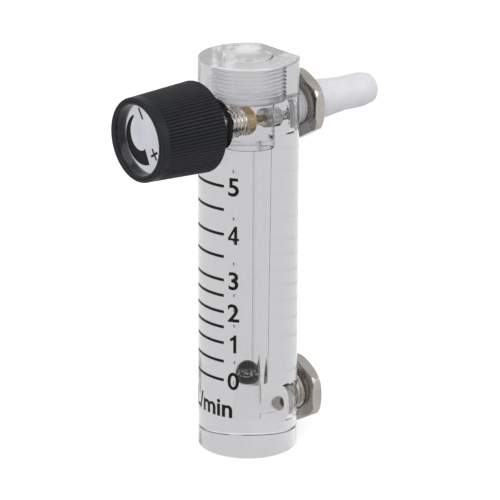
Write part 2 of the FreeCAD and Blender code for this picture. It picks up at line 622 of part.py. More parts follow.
def make_knob():
    """Ribbed knob, tapered towards its front."""
    knob = new_body("knob", VALVE_SIDE, "outlet_height")
    turn(knob, "knob_form", [
        ("hub_hole_radius", "hub_rear"),
        ("hub_radius", "hub_rear"),
        ("hub_radius", "web_back"),
        ("skirt_front_radius", "web_back"),
        ("skirt_rear_radius", "knob_rear"),
        ("knob_rear_radius", "knob_rear"),
        ("knob_front_radius", "knob_front"),
        ("recess_radius", "knob_front"),
        ("recess_radius", "recess_floor"),
        (None, "recess_floor"),
        (None, "bush_front"),
        ("hub_hole_radius", "bush_front"),
    ])
    lip = circles_at(knob, value_of("knob_front"))
    round_edges(knob, "lip_edges", lip, "lip_rounding")
    rear = circles_at(knob, value_of("knob_rear"))
    round_edges(knob, "rear_edges", rear, "rear_rounding")
    drill(knob, "screw_hole", "YZ_Plane", None, "screw_offset", "screw_hole_radius",
          "2 * Sizes.knob_rear_radius", False)
    rear_end = groove_end(knob, "groove_rear", "knob_rear", "knob_rear_radius")
    front_end = groove_end(knob, "groove_front", "rib_end", "rib_end_radius")
    wedge = knob.newObject("PartDesign::SubtractiveLoft", "groove")
    wedge.Profile = rear_end
    wedge.Sections = [front_end]
    wedge.Ruled = True
    doc.recompute()
    ring = knob.newObject("PartDesign::PolarPattern", "ribs")
    ring.Originals = [wedge]
    ring.Axis = (rear_end, ["N_Axis"])
    ring.Angle = 360
    ring.setExpression("Occurrences", path_of("rib_count"))
    knob.Tip = ring


def make_knob_fittings():
    """Bush, set screw and label that go round with the knob."""
    bush = new_body("knob_bush", VALVE_SIDE, "outlet_height")
    turn(bush, "bush", [
        ("stem_bore_radius", "hub_rear"),
        ("bush_radius", "hub_rear"),
        ("bush_radius", "bush_front"),
        ("stem_bore_radius", "bush_front"),
    ])
    drill(bush, "screw_hole", "YZ_Plane", None, "screw_offset", "screw_hole_radius",
          "2 * Sizes.bush_radius", False)
    screw = new_body("knob_set_screw", FreeCAD.Rotation(FreeCAD.Vector(0, 1, 0), -90),
                     "outlet_height")
    screw.setExpression("Placement.Base.y", "-Places.screw_offset")
    pad = screw.newObject("PartDesign::Pad", "shank")
    pad.Profile = circle_sketch(screw, "shank_circle", "XY_Plane", "Places.screw_tip", None,
                                "screw_radius")
    pad.setExpression("Length", "Sizes.screw_length")
    socket = screw.newObject("PartDesign::Pocket", "socket")
    socket.Profile = hexagon_sketch(screw, "socket_outline",
                                    "Places.screw_tip + Sizes.screw_length",
                                    "screw_socket_corner")
    socket.setExpression("Length", "Sizes.screw_socket_depth")
    label = new_body("knob_label", VALVE_SIDE, "outlet_height")
    turn(label, "label", [
        (None, "recess_floor"),
        ("label_radius", "recess_floor"),
        ("label_radius", "label_face"),
        (None, "label_face"),
    ])


# Ports, drawn from the column's axis towards the panel


def make_spout():
    """Outlet: threaded shank and hose spout moulded in one."""
    spout = new_body("outlet_spout", PORT_SIDE, "outlet_height")
    turn(spout, "spout", [
        ("spout_bore_radius", "shank_start"),
        ("shank_tip_radius", "shank_start"),
        ("port_radius", "shank_chamfer_end"),
        ("port_radius", "spout_shank_end"),
        ("spout_neck_radius", "spout_neck_offset"),
        ("spout_land_radius", "spout_land_start"),
        ("spout_land_radius", "spout_land_end"),
        ("spout_tip_radius", "spout_end"),
        ("spout_bore_radius", "spout_end"),
    ])
    tip = circles_at(spout, value_of("spout_end"), [value_of("spout_tip_radius")])
    round_edges(spout, "tip_edge", tip, "spout_tip_rounding")


def make_inlet():
    """Inlet: threaded fitting with a socket for the supply."""
    fitting = new_body("inlet_fitting", PORT_SIDE, "inlet_height")
    turn(fitting, "fitting", [
        ("fitting_bore_radius", "shank_start"),
        ("shank_tip_radius", "shank_start"),
        ("port_radius", "shank_chamfer_end"),
        ("port_radius", "inlet_chamfer_start"),
        ("shank_tip_radius", "inlet_end"),
        ("socket_radius", "inlet_end"),
        ("socket_radius", "socket_floor"),
        ("fitting_bore_radius", "socket_floor"),
    ])


def make_nut(label, height):
    """Hexagon panel nut, chamfered on both faces."""
    nut = new_body(label, PORT_SIDE, height)
    pad_hexagon(nut, "hexagon", "nut_near", "nut_thickness", "nut_corner_radius")
    chamfer_corners(nut, "near_chamfer", "nut_near", "nut_corner_radius", "nut_chamfer", -1)
    chamfer_corners(nut, "far_chamfer", "nut_far", "nut_corner_radius", "nut_chamfer", 1)
    turn(nut, "hole", [
        (None, "nut_near"),
        ("nut_mouth_radius", "nut_near"),
        ("nut_hole_radius", "nut_near_mouth"),
        ("nut_hole_radius", "nut_far_mouth"),
        ("nut_mouth_radius", "nut_far"),
        (None, "nut_far"),
    ], "Groove")


make_meter_body()
make_top_closure()
make_float()
make_bonnet()
make_spindle()
make_knob()
make_knob_fittings()
make_spout()
make_inlet()
for port, height in (("outlet", "outlet_height"), ("inlet", "inlet_height")):
    make_ring(f"{port}_seal", "port_seal_mean", "port_seal_radius", PORT_SIDE, height,
              "port_seal_offset")
    make_nut(f"{port}_nut", height)
doc.recompute()

for item in doc.Objects:
    if "Invalid" in item.State or "Error" in item.State:
        raise RuntimeError(f"{item.Label} did not recompute: {item.State}")
for piece in sub_parts:
    if piece.Shape.isNull() or not piece.Shape.isValid():
        raise RuntimeError(f"{piece.Label} has no valid shape")
    if len(piece.Shape.Solids) != 1:
        raise RuntimeError(f"{piece.Label} is not one solid")

os.makedirs("parts", exist_ok=True)
for piece in sub_parts:
    piece.Shape.exportStep(f"parts/{piece.Label}.step")
    box = piece.Shape.BoundBox
    print(f"{piece.Label}: {piece.Shape.Volume:.2f} mm3, y {box.YMin:.2f} to {box.YMax:.2f},"
          f" z {box.ZMin:.2f} to {box.ZMax:.2f}")
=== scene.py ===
"""Looks of a small oxygen flowmeter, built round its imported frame.

The column stands on z = 0 with its axis on Z, the knob towards -Y and the ports towards +Y.
Sizes in this file are in millimetres; meshes are written in metres.
"""
import logging
import math
from collections.abc import Callable, Iterable
from dataclasses import dataclass, field, replace
from enum import Enum

import bmesh
import bpy
from mathutils import Matrix, Vector


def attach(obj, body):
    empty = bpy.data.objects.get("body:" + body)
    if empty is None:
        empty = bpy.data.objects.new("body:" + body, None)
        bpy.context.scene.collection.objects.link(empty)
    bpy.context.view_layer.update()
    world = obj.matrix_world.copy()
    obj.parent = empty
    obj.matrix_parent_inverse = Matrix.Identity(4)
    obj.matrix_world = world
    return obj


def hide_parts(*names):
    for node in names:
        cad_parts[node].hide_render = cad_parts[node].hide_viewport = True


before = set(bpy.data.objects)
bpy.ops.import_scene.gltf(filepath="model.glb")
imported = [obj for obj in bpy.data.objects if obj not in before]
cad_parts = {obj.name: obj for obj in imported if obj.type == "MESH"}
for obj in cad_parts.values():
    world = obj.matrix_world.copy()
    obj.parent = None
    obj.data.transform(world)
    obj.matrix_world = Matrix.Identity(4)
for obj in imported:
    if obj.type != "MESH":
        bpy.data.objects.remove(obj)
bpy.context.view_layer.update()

LOG = logging.getLogger("flowmeter")
MM = 0.001  # metres
MERGE_DISTANCE = 2e-8  # metres, for finished meshes
FLAT_MERGE = 1e-5  # millimetres, for flat prints
FLAT_DIGITS = 6
SHARP_ANGLE = math.radians(32)
FRONT = -90.0  # degrees, the column's side towards the knob
COLUMN_RADIUS = 12.5
COLUMN_HEIGHT = 101.5
VALVE_HEIGHT = 86.5
INLET_HEIGHT = 10.5
PHOTO_WIDTH = 500
CLOUD_OCTAVES = 4.0
GRAIN_OCTAVES = 2.0

Piece = bpy.types.Object
Draft = bmesh.types.BMesh
Socket = bpy.types.NodeSocket
Outline = list[tuple[float, float]]
Colour = tuple[float, float, float]
Stretch = tuple[float, float, float]


def tone(red: float, green: float, blue: float) -> Colour:
    """Linear colour of an 8-bit display tone.

    Args:
        red: red tone, 0 to 255.
        green: green tone, 0 to 255.
        blue: blue tone, 0 to 255.

    Returns:
        The colour as linear red, green and blue.
    """
    linear = []
    for value in (red, green, blue):
        share = value / 255
        linear.append(share / 12.92 if share <= 0.04045 else ((share + 0.055) / 1.055) ** 2.4)
    return tuple(linear)


# Materials and finishes


class Recipe:
    """Node tree of one material, with a Principled shader as its base."""

    def __init__(self, name: str) -> None:
        """Start an empty material.

        Args:
            name: name of the Blender material.
        """
        self.material = bpy.data.materials.new(name)
        self.material.use_nodes = True
        self.tree = self.material.node_tree
        self.tree.nodes.clear()
        self.output = self.node("ShaderNodeOutputMaterial")
        self.shader = self.node("ShaderNodeBsdfPrincipled")
        self.join(self.shader.outputs["BSDF"], self.output.inputs["Surface"])
        self.place = self.node("ShaderNodeTexCoord").outputs["Object"]

    def node(self, kind: str) -> bpy.types.Node:
        """Add a node of a kind."""
        return self.tree.nodes.new(kind)

    def join(self, source: Socket, target: Socket) -> None:
        """Link one socket to another."""
        self.tree.links.new(source, target)

    def settle(self, **values: float | tuple[float, ...]) -> None:
        """Set sockets of the shader by name, with underscores for spaces."""
        for name, value in values.items():
            self.shader.inputs[name.replace("_", " ")].default_value = value

    def feed(self, **sources: Socket) -> None:
        """Link sockets to the shader's by name, with underscores for spaces."""
        for name, source in sources.items():
            self.join(source, self.shader.inputs[name.replace("_", " ")])

    def noise(self, scale: float, octaves: float = 3.0,
              stretch: Stretch = (1.0, 1.0, 1.0)) -> Socket:
        """Soft noise over the object's own coordinates.

        Args:
            scale: cells per millimetre.
            octaves: number of finer layers.
            stretch: factor on each axis, smaller along the direction of a grain.

        Returns:
            The noise's value socket.
        """
        mapping = self.node("ShaderNodeMapping")
        mapping.inputs["Scale"].default_value = tuple(scale / MM * s for s in stretch)
        self.join(self.place, mapping.inputs["Vector"])
        noise = self.node("ShaderNodeTexNoise")
        noise.inputs["Scale"].default_value = 1.0
        noise.inputs["Detail"].default_value = octaves
        self.join(mapping.outputs["Vector"], noise.inputs["Vector"])
        return noise.outputs["Fac"]

    def span(self, source: Socket, low: float, high: float, start: float = 0.3,
             end: float = 0.7) -> Socket:
        """Map a value from start..end to low..high.

        Args:
            source: socket that is mapped.
            low: result at start.
            high: result at end.
            start: value that gives low.
            end: value that gives high.

        Returns:
            The mapped value's socket.
        """
        node = self.node("ShaderNodeMapRange")
        for name, value in (("From Min", start), ("From Max", end),
                            ("To Min", low), ("To Max", high)):
            node.inputs[name].default_value = value
        self.join(source, node.inputs["Value"])
        return node.outputs["Result"]

    def around(self, source: Socket, middle: float, spread: float) -> Socket:
        """Map a noise to a spread on both sides of a middle value."""
        return self.span(source, middle - spread, middle + spread)

    def blend(self, share: Socket, first: Colour, second: Colour) -> Socket:
        """Mix two colours by a share from 0 to 1.

        Args:
            share: socket of the second colour's share.
            first: colour at 0.
            second: colour at 1.

        Returns:
            The mixed colour's socket.
        """
        node = self.node("ShaderNodeMix")
        node.data_type = "RGBA"
        node.inputs["A"].default_value = (*first, 1.0)
        node.inputs["B"].default_value = (*second, 1.0)
        self.join(share, node.inputs["Factor"])
        return node.outputs["Result"]

    def clouded(self, cloud: Socket, first: Colour, second: Colour) -> Socket:
        """Mix two colours by a noise."""
        return self.blend(self.span(cloud, 0.0, 1.0), first, second)

    def maths(self, kind: str, first: Socket | float, second: Socket | float) -> Socket:
        """Work out one maths step.

        Args:
            kind: operation of the Math node.
            first: first number or socket.
            second: second number or socket.

        Returns:
            The result's socket.
        """
        node = self.node("ShaderNodeMath")
        node.operation = kind
        for slot, value in zip(node.inputs, (first, second)):
            if isinstance(value, float):
                slot.default_value = value
            else:
                self.join(value, slot)
        return node.outputs["Value"]

    def relief(self, height: Socket, depth: float) -> Socket:
        """Bump from a height.

        Args:
            height: socket of the height, 0 to 1.
            depth: relief in millimetres at height 1.

        Returns:
            The normal's socket.
        """
        node = self.node("ShaderNodeBump")
        node.inputs["Distance"].default_value = depth * MM
        node.inputs["Strength"].default_value = 1.0
        self.join(height, node.inputs["Height"])
        return node.outputs["Normal"]


@dataclass(frozen=True)
class ClearFinish:
    """Clear cast plastic with faint waves in its polish; milk is what a cut face scatters."""

    name: str
    colour: Colour
    milk: float = 0.0
    gloss: float = 0.012
    haze: float = 0.04
    mirror: float = 0.4
    index: float = 1.49
    shade: float = 0.985
    haze_span: tuple[float, float] = (0.45, 0.85)
    polish_scale: float = 0.35
    polish_stretch: Stretch = (1.0, 1.0, 0.35)
    polish_depth: float = 0.003

    def make(self) -> bpy.types.Material:
        """Build the material.

        Returns:
            The finished material.
        """
        recipe = Recipe(self.name)
        recipe.settle(IOR=self.index, Transmission_Weight=1.0 - self.milk,
                      Specular_Tint=(*[self.mirror] * 3, 1.0))
        cloud = recipe.noise(self.polish_scale, CLOUD_OCTAVES, self.polish_stretch)
        darker = tuple(self.shade * part for part in self.colour)
        recipe.feed(
            Base_Color=recipe.clouded(cloud, self.colour, darker),
            Roughness=recipe.span(cloud, self.gloss, self.haze, *self.haze_span),
            Normal=recipe.relief(cloud, self.polish_depth),
        )
        return recipe.material


@dataclass(frozen=True)
class MouldedFinish:
    """Moulded plastic or rubber with a fine grain and a slight spread of tone."""

    name: str
    colour: Colour
    shade: Colour
    roughness: float
    roughness_spread: float = 0.08
    cloud_scale: float = 0.25
    grain_scale: float = 6.0
    grain_depth: float = 0.008
    specular: float = 0.5
    glow: float = 0.35
    glow_depth: float = 0.0
    glow_reach: Colour = (1.0, 0.95, 0.9)

    def make(self) -> bpy.types.Material:
        """Build the material.

        Returns:
            The finished material.
        """
        recipe = Recipe(self.name)
        recipe.settle(Specular_IOR_Level=self.specular)
        if self.glow_depth:
            recipe.settle(Subsurface_Weight=self.glow, Subsurface_Scale=self.glow_depth * MM,
                          Subsurface_Radius=self.glow_reach)
        cloud = recipe.noise(self.cloud_scale)
        grain = recipe.noise(self.grain_scale, GRAIN_OCTAVES)
        recipe.feed(
            Base_Color=recipe.clouded(cloud, self.colour, self.shade),
            Roughness=recipe.around(grain, self.roughness, self.roughness_spread),
            Normal=recipe.relief(grain, self.grain_depth),
        )
        return recipe.material


@dataclass(frozen=True)
class BallFinish:
    """Polished black ball with a painted highlight round its middle: a light band of glints."""

    name: str
    colour: Colour
    glint_colour: Colour
    middle: float = 20.5
    band: float = 1.4
    glint_scale: float = 1.7
    glint_stretch: Stretch = (1.0, 1.0, 1.5)
    glint_span: tuple[float, float] = (0.55, 0.6)
    glint_depth: float = 0.01
    glint_base: float = 0.06
    roughness: float = 0.16
    glint_roughness: float = 0.5
    specular: float = 0.2

    def make(self) -> bpy.types.Material:
        """Build the material.

        Returns:
            The finished material.
        """
        recipe = Recipe(self.name)
        recipe.settle(Specular_IOR_Level=self.specular)
        split = recipe.node("ShaderNodeSeparateXYZ")
        recipe.join(recipe.place, split.inputs["Vector"])
        above = recipe.maths("SUBTRACT", split.outputs["Z"], self.middle * MM)
        off = recipe.maths("ABSOLUTE", above, 0.0)
        near = recipe.span(off, low=1.0, high=0.0, start=0.0, end=self.band * MM)
        cloud = recipe.noise(self.glint_scale, CLOUD_OCTAVES, self.glint_stretch)
        glints = recipe.span(cloud, 0.0, 1.0, *self.glint_span)
        # The band's light colour is a painted highlight: glints of reflected light round the
        # ball's middle.
        share = recipe.maths("MULTIPLY", near, recipe.maths("ADD", self.glint_base, glints))
        recipe.feed(
            Base_Color=recipe.blend(share, self.colour, self.glint_colour),
            Roughness=recipe.span(share, self.roughness, self.glint_roughness,
                                  start=0.0, end=1.0),
            Normal=recipe.relief(glints, self.glint_depth),
        )
        return recipe.material


class Grain(Enum):
    """Direction of a metal's working marks, as a stretch on X, Y and Z."""

    ROUND_Y = (0.12, 1.0, 0.12)
    EVEN = (1.0, 1.0, 1.0)
    BRUSHED_X = (0.05, 1.0, 1.0)


@dataclass(frozen=True)
class MetalFinish:
    """Worked metal: tool marks in its relief, soft clouds of tarnish in its tone."""

    name: str
    colour: Colour
    tarnish: Colour
    roughness: float
    roughness_spread: float = 0.08
    grain: Grain = Grain.EVEN
    cloud_scale: float = 0.18
    mark_scale: float = 5.0
    mark_depth: float = 0.004

    def make(self) -> bpy.types.Material:
        """Build the material.

        Returns:
            The finished material.
        """
        recipe = Recipe(self.name)
        recipe.settle(Metallic=1.0)
        cloud = recipe.noise(self.cloud_scale, CLOUD_OCTAVES)
        marks = recipe.noise(self.mark_scale, stretch=self.grain.value)
        recipe.feed(
            Base_Color=recipe.clouded(cloud, self.colour, self.tarnish),
            Roughness=recipe.around(marks, self.roughness, self.roughness_spread),
            Normal=recipe.relief(marks, self.mark_depth),
        )
        return recipe.material


Finish = ClearFinish | MouldedFinish | BallFinish | MetalFinish


class Finishes:
    """Every finish of the flowmeter, each made once."""

    # The skin's grey tint is painted shade: it darkens what is seen through the clear column in
    # place of its darker surroundings.
    SHADE_TINTED_ACRYLIC = ClearFinish("clear_acrylic", tone(199, 199, 201))
    BORED_ACRYLIC = ClearFinish("bored_acrylic", tone(255, 255, 255))
    SEALED_ACRYLIC = ClearFinish("sealed_acrylic", tone(253, 252, 253), gloss=0.3, haze=0.5,
                                 index=1.045)
    TAPPED_ACRYLIC = ClearFinish("tapped_acrylic", tone(253, 252, 253), gloss=0.03, haze=0.1,
                                 index=1.3)
    SAWN_ACRYLIC = ClearFinish("sawn_acrylic", tone(249, 248, 250), milk=0.3, gloss=0.2,
                               haze=0.34)
    FOOT_ACRYLIC = ClearFinish("foot_acrylic", tone(250, 250, 251), gloss=0.1, haze=0.2)
    PLUG = ClearFinish("clear_plug", tone(253, 252, 253), gloss=0.3, haze=0.5, index=1.045)
    SILICONE = ClearFinish("clear_silicone", tone(246, 246, 247), milk=0.12, gloss=0.3,
                           haze=0.45, index=1.12)
    NYLON = MouldedFinish("white_nylon", tone(209, 208, 212), tone(203, 202, 206),
                          roughness=0.38, grain_depth=0.006, glow_depth=1.2)
    SEAT = ClearFinish("white_seat", tone(248, 247, 245), milk=0.3, gloss=0.3, haze=0.45,
                       index=1.12)
    KNOB = MouldedFinish("black_knob", tone(38, 39, 42), tone(34, 35, 38), roughness=0.42,
                         grain_scale=7.0, grain_depth=0.006, specular=0.09)
    POLISHED_KNOB = MouldedFinish("polished_knob", tone(34, 35, 39), tone(30, 31, 34),
                                  roughness=0.16, roughness_spread=0.04, grain_scale=7.0,
                                  grain_depth=0.003, specular=0.45)
    # The float's light second colour is a painted highlight, the band of glints round its
    # middle.
    FLOAT = BallFinish("float_black", tone(5, 5, 6), tone(205, 206, 210))
    RUBBER = MouldedFinish("black_rubber", tone(13, 13, 14), tone(9, 9, 10), roughness=0.6,
                           specular=0.2)
    INK = MouldedFinish("print_ink", tone(15, 15, 16), tone(10, 10, 11), roughness=0.45,
                        grain_scale=9.0, grain_depth=0.004, specular=0.12)
    NICKEL = MetalFinish("nickel_plate", tone(172, 167, 162), tone(152, 146, 140),
                         roughness=0.24, mark_scale=3.0)
    TURNED_NICKEL = MetalFinish("turned_nickel", tone(212, 209, 203), tone(190, 184, 174),
                                roughness=0.3, grain=Grain.ROUND_Y)
    SATIN_NICKEL = MetalFinish("satin_nickel", tone(250, 244, 235), tone(234, 226, 213),
                               roughness=0.3, grain=Grain.ROUND_Y)
    BRASS = MetalFinish("turned_brass", tone(205, 180, 135), tone(180, 152, 108),
                        roughness=0.3, grain=Grain.ROUND_Y)
    STEEL = MetalFinish("screw_steel", tone(120, 120, 122), tone(96, 94, 92), roughness=0.34)
    LABEL = MetalFinish("label_silver", tone(190, 191, 196), tone(178, 179, 184),
                        roughness=0.14, roughness_spread=0.05, grain=Grain.BRUSHED_X,
                        mark_scale=12.0, mark_depth=0.0012)

    def __init__(self) -> None:
        """Start with no material made."""
        self.made: dict[str, bpy.types.Material] = {}

    def of(self, finish: Finish) -> bpy.types.Material:
        """Material of a finish, made at its first use.

        Args:
            finish: one of this class's finishes.

        Returns:
            Its material.
        """
        if finish.name not in self.made:
            self.made[finish.name] = finish.make()
        return self.made[finish.name]

    def dress(self, piece: Piece, finish: Finish) -> None:
        """Make a finish the only material of a piece."""
        piece.data.materials.clear()
        piece.data.materials.append(self.of(finish))

    def dress_faces(self, piece: Piece, finish: Finish,
                    chosen: Callable[[bpy.types.MeshPolygon], bool]) -> None:
        """Give some faces of a dressed piece a second finish.

        Args:
            piece: the piece.
            finish: the second finish.
            chosen: tells whether a face gets it.
        """
        piece.data.materials.append(self.of(finish))
        for face in piece.data.polygons:
            if chosen(face):
                face.material_index = 1

    def dress_nodes(self, **looks: Finish) -> None:
        """Dress the frame's own pieces, each named with its finish."""
        for node, finish in looks.items():
            self.dress(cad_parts[node], finish)


# Meshes: turned, carved, printed and threaded


class Lie(Enum):
    """Direction in which a turned piece's axis runs."""

    UP = "up the column"
    VALVE = "from the column towards the knob"
    PORT = "from the column towards the panel"


@dataclass(frozen=True)
class Axis:
    """Axis of turned pieces; distances along it start at the column's axis or at its foot."""

    lie: Lie
    height: float = 0.0

    def point(self, radius: float, angle: float, along: float) -> Vector:
        """Place a point given round the axis.

        Args:
            radius: distance from the axis, mm.
            angle: turn about the axis, radians, right-handed along it.
            along: distance along the axis, mm.

        Returns:
            The point in metres.
        """
        across, beside = radius * math.cos(angle), radius * math.sin(angle)
        if self.lie is Lie.UP:
            return Vector((across, beside, along)) * MM
        if self.lie is Lie.VALVE:
            return Vector((across, -along, self.height + beside)) * MM
        return Vector((across, along, self.height - beside)) * MM


def link_mesh(name: str, bm: Draft) -> Piece:
    """Close a mesh under construction and put it into the scene.

    Args:
        name: name of the piece.
        bm: the mesh; it is freed.

    Returns:
        The new object.
    """
    bmesh.ops.remove_doubles(bm, verts=bm.verts, dist=MERGE_DISTANCE)
    bmesh.ops.recalc_face_normals(bm, faces=bm.faces)
    mesh = bpy.data.meshes.new(name)
    bm.to_mesh(mesh)
    bm.free()
    mesh.shade_smooth()
    mesh.set_sharp_from_angle(angle=SHARP_ANGLE)
    piece = bpy.data.objects.new(name, mesh)
    bpy.context.scene.collection.objects.link(piece)
    return piece


def turned(name: str, axis: Axis, outline_at: Callable[[float], Outline], columns: int,
           ring: bool = True) -> Piece:
    """Skin a turned piece from one outline per column round its axis.

    Args:
        name: name of the piece.
        axis: axis that it is turned about.
        outline_at: gives the outline of (radius, along) corners at a share of the full turn.
        columns: number of columns round the axis.
        ring: True if each outline is closed, False if it starts and ends on the axis.

    Returns:
        The new object.
    """
    bm = bmesh.new()
    grid = []
    for column in range(columns + 1):
        share = column / columns
        corners = outline_at(share)
        grid.append([bm.verts.new(axis.point(r, share * math.tau, a)) for r, a in corners])
    count = len(grid[0])
    for left, right in zip(grid, grid[1:]):
        for j in range(count if ring else count - 1):
            k = (j + 1) % count
            bm.faces.new((left[j], right[j], right[k], left[k]))
    return link_mesh(name, bm)


def carve(blank: Piece, tools: list[Piece]) -> None:
    """Cut closed tools out of a closed blank, and take the tools away.

    Args:
        blank: the piece that is cut.
        tools: the cutting shapes.
    """
    for tool in tools:
        cut = blank.modifiers.new(tool.name, "BOOLEAN")
        cut.operation = "DIFFERENCE"
        cut.solver = "MANIFOLD"
        cut.object = tool
    bpy.context.view_layer.update()
    graph = bpy.context.evaluated_depsgraph_get()
    mesh = bpy.data.meshes.new_from_object(blank.evaluated_get(graph))
    old = blank.data
    blank.modifiers.clear()
    blank.data = mesh
    mesh.name = blank.name
    bpy.data.meshes.remove(old)
    for tool in tools:
        shape = tool.data
        bpy.data.objects.remove(tool)
        bpy.data.meshes.remove(shape)
    mesh.shade_smooth()
    mesh.set_sharp_from_angle(angle=SHARP_ANGLE)


def flat_shape(patches: Iterable[Outline], scale: float = 1.0) -> Draft:
    """Flat shape of patches that share their common corners.

    Args:
        patches: corners of each patch.
        scale: size of the drawing's unit, mm.

    Returns:
        The flat mesh in millimetres.
    """
    bm = bmesh.new()
    made: dict[tuple[float, float], bmesh.types.BMVert] = {}
    for patch in patches:
        keys = [(round(x * scale, FLAT_DIGITS), round(y * scale, FLAT_DIGITS))
                for x, y in patch]
        for key in keys:
            if key not in made:
                made[key] = bm.verts.new((*key, 0))
        bm.faces.new([made[key] for key in keys])
    return bm


def printed(name: str, bm: Draft, place: Callable[[Vector, float], Vector], proud: float,
            sunk: float) -> Piece:
    """Lay a flat shape on a surface and give it its thickness.

    Args:
        name: name of the piece.
        bm: flat mesh in millimetres; it is freed.
        place: gives the place of a flat point at a distance off the surface.
        proud: height of its face over the surface, mm.
        sunk: depth of its back under the surface, mm.

    Returns:
        The new object.
    """
    verts, faces = bm.verts[:], bm.faces[:]
    rim = [edge for edge in bm.edges if edge.is_boundary]
    under = {v: bm.verts.new(place(v.co, -sunk)) for v in verts}
    for face in faces:
        bm.faces.new([under[v] for v in reversed(face.verts)])
    for edge in rim:
        a, b = edge.verts
        bm.faces.new((a, b, under[b], under[a]))
    for v in verts:
        v.co = place(v.co, proud)
    return link_mesh(name, bm)


@dataclass(frozen=True)
class Thread:
    """Outside thread of a shank: its groove is cut into the full radius."""

    start: float
    end: float
    radius: float
    pitch: float
    depth: float
    start_radius: float
    start_chamfer: float
    end_radius: float
    end_chamfer: float = 0.0
    fade: float = 1.0
    steps: tuple[tuple[float, float], ...] = (
        (0.0, 0.0), (0.16, 0.0), (0.34, 0.6), (0.46, 1.0), (0.62, 1.0), (0.8, 0.45))

    def limit(self, along: float) -> float:
        """Largest radius that the end chamfers leave.

        Args:
            along: distance along the axis, mm.

        Returns:
            The radius in mm.
        """
        limit = self.radius
        if self.start_chamfer and along < self.start + self.start_chamfer:
            share = (along - self.start) / self.start_chamfer
            limit = min(limit, self.start_radius + (self.radius - self.start_radius) * share)
        if self.end_chamfer and along > self.end - self.end_chamfer:
            share = (self.end - along) / self.end_chamfer
            limit = min(limit, self.end_radius + (self.radius - self.end_radius) * share)
        return limit

    def rows(self, share: float) -> Outline:
        """Points of the threaded surface in one column, from start to end.

        Args:
            share: the column's share of the full turn.

        Returns:
            The (radius, along) corners.
        """
        corners = []
        turns = math.ceil((self.end - self.start) / self.pitch) + 2
        for turn in range(turns):
            for phase, fall in self.steps:
                along = self.start + (turn - 1 + share + phase) * self.pitch
                along = min(max(along, self.start), self.end)
                keep = 1.0
                if not self.end_chamfer:
                    keep = min(1.0, (self.end - along) / (self.fade * self.pitch))
                radius = self.radius - self.depth * fall * keep
                if along in (self.start, self.end):
                    radius = self.start_radius if along == self.start else self.end_radius
                corners.append((min(radius, self.limit(along)), along))
        return corners


def tapped(thread: Thread, clearance: float, end: float) -> Thread:
    """Inside thread that a shank screws into.

    Args:
        thread: the shank's thread.
        clearance: room between the two, mm.
        end: where the tapped hole opens, mm.

    Returns:
        The thread of the hole's wall.
    """
    radius = thread.radius + clearance
    return replace(thread, end=end, radius=radius, start_radius=radius, start_chamfer=0.0,
                   end_radius=radius, end_chamfer=0.0)


def hexagon_radius(flats: float, share: float, first_corner: float) -> float:
    """Distance from the axis to a hexagon's side.

    Args:
        flats: width across flats, mm.
        share: share of the full turn.
        first_corner: turn of the first corner, degrees.

    Returns:
        The radius in mm.
    """
    sector = 360 / 6
    beyond = (share * 360 - first_corner) % sector - sector / 2
    return flats / 2 / math.cos(math.radians(beyond))


PLUG_THREAD = Thread(start=92.61, end=COLUMN_HEIGHT, radius=6.0, pitch=1.0, depth=0.55,
                     start_radius=5.45, start_chamfer=0.55, end_radius=5.6, end_chamfer=0.4)
BONNET_THREAD = Thread(start=3.0, end=10.3, radius=4.0, pitch=1.0, depth=0.52,
                       start_radius=3.48, start_chamfer=0.52, end_radius=4.0)
OUTLET_THREAD = Thread(start=6.66, end=20.4, radius=5.0, pitch=1.0, depth=0.5,
                       start_radius=4.5, start_chamfer=0.5, end_radius=5.0)
INLET_THREAD = Thread(start=6.66, end=20.6, radius=5.0, pitch=1.0, depth=0.5,
                      start_radius=4.5, start_chamfer=0.5, end_radius=4.5, end_chamfer=0.5)


# Column with its print, float and top closure


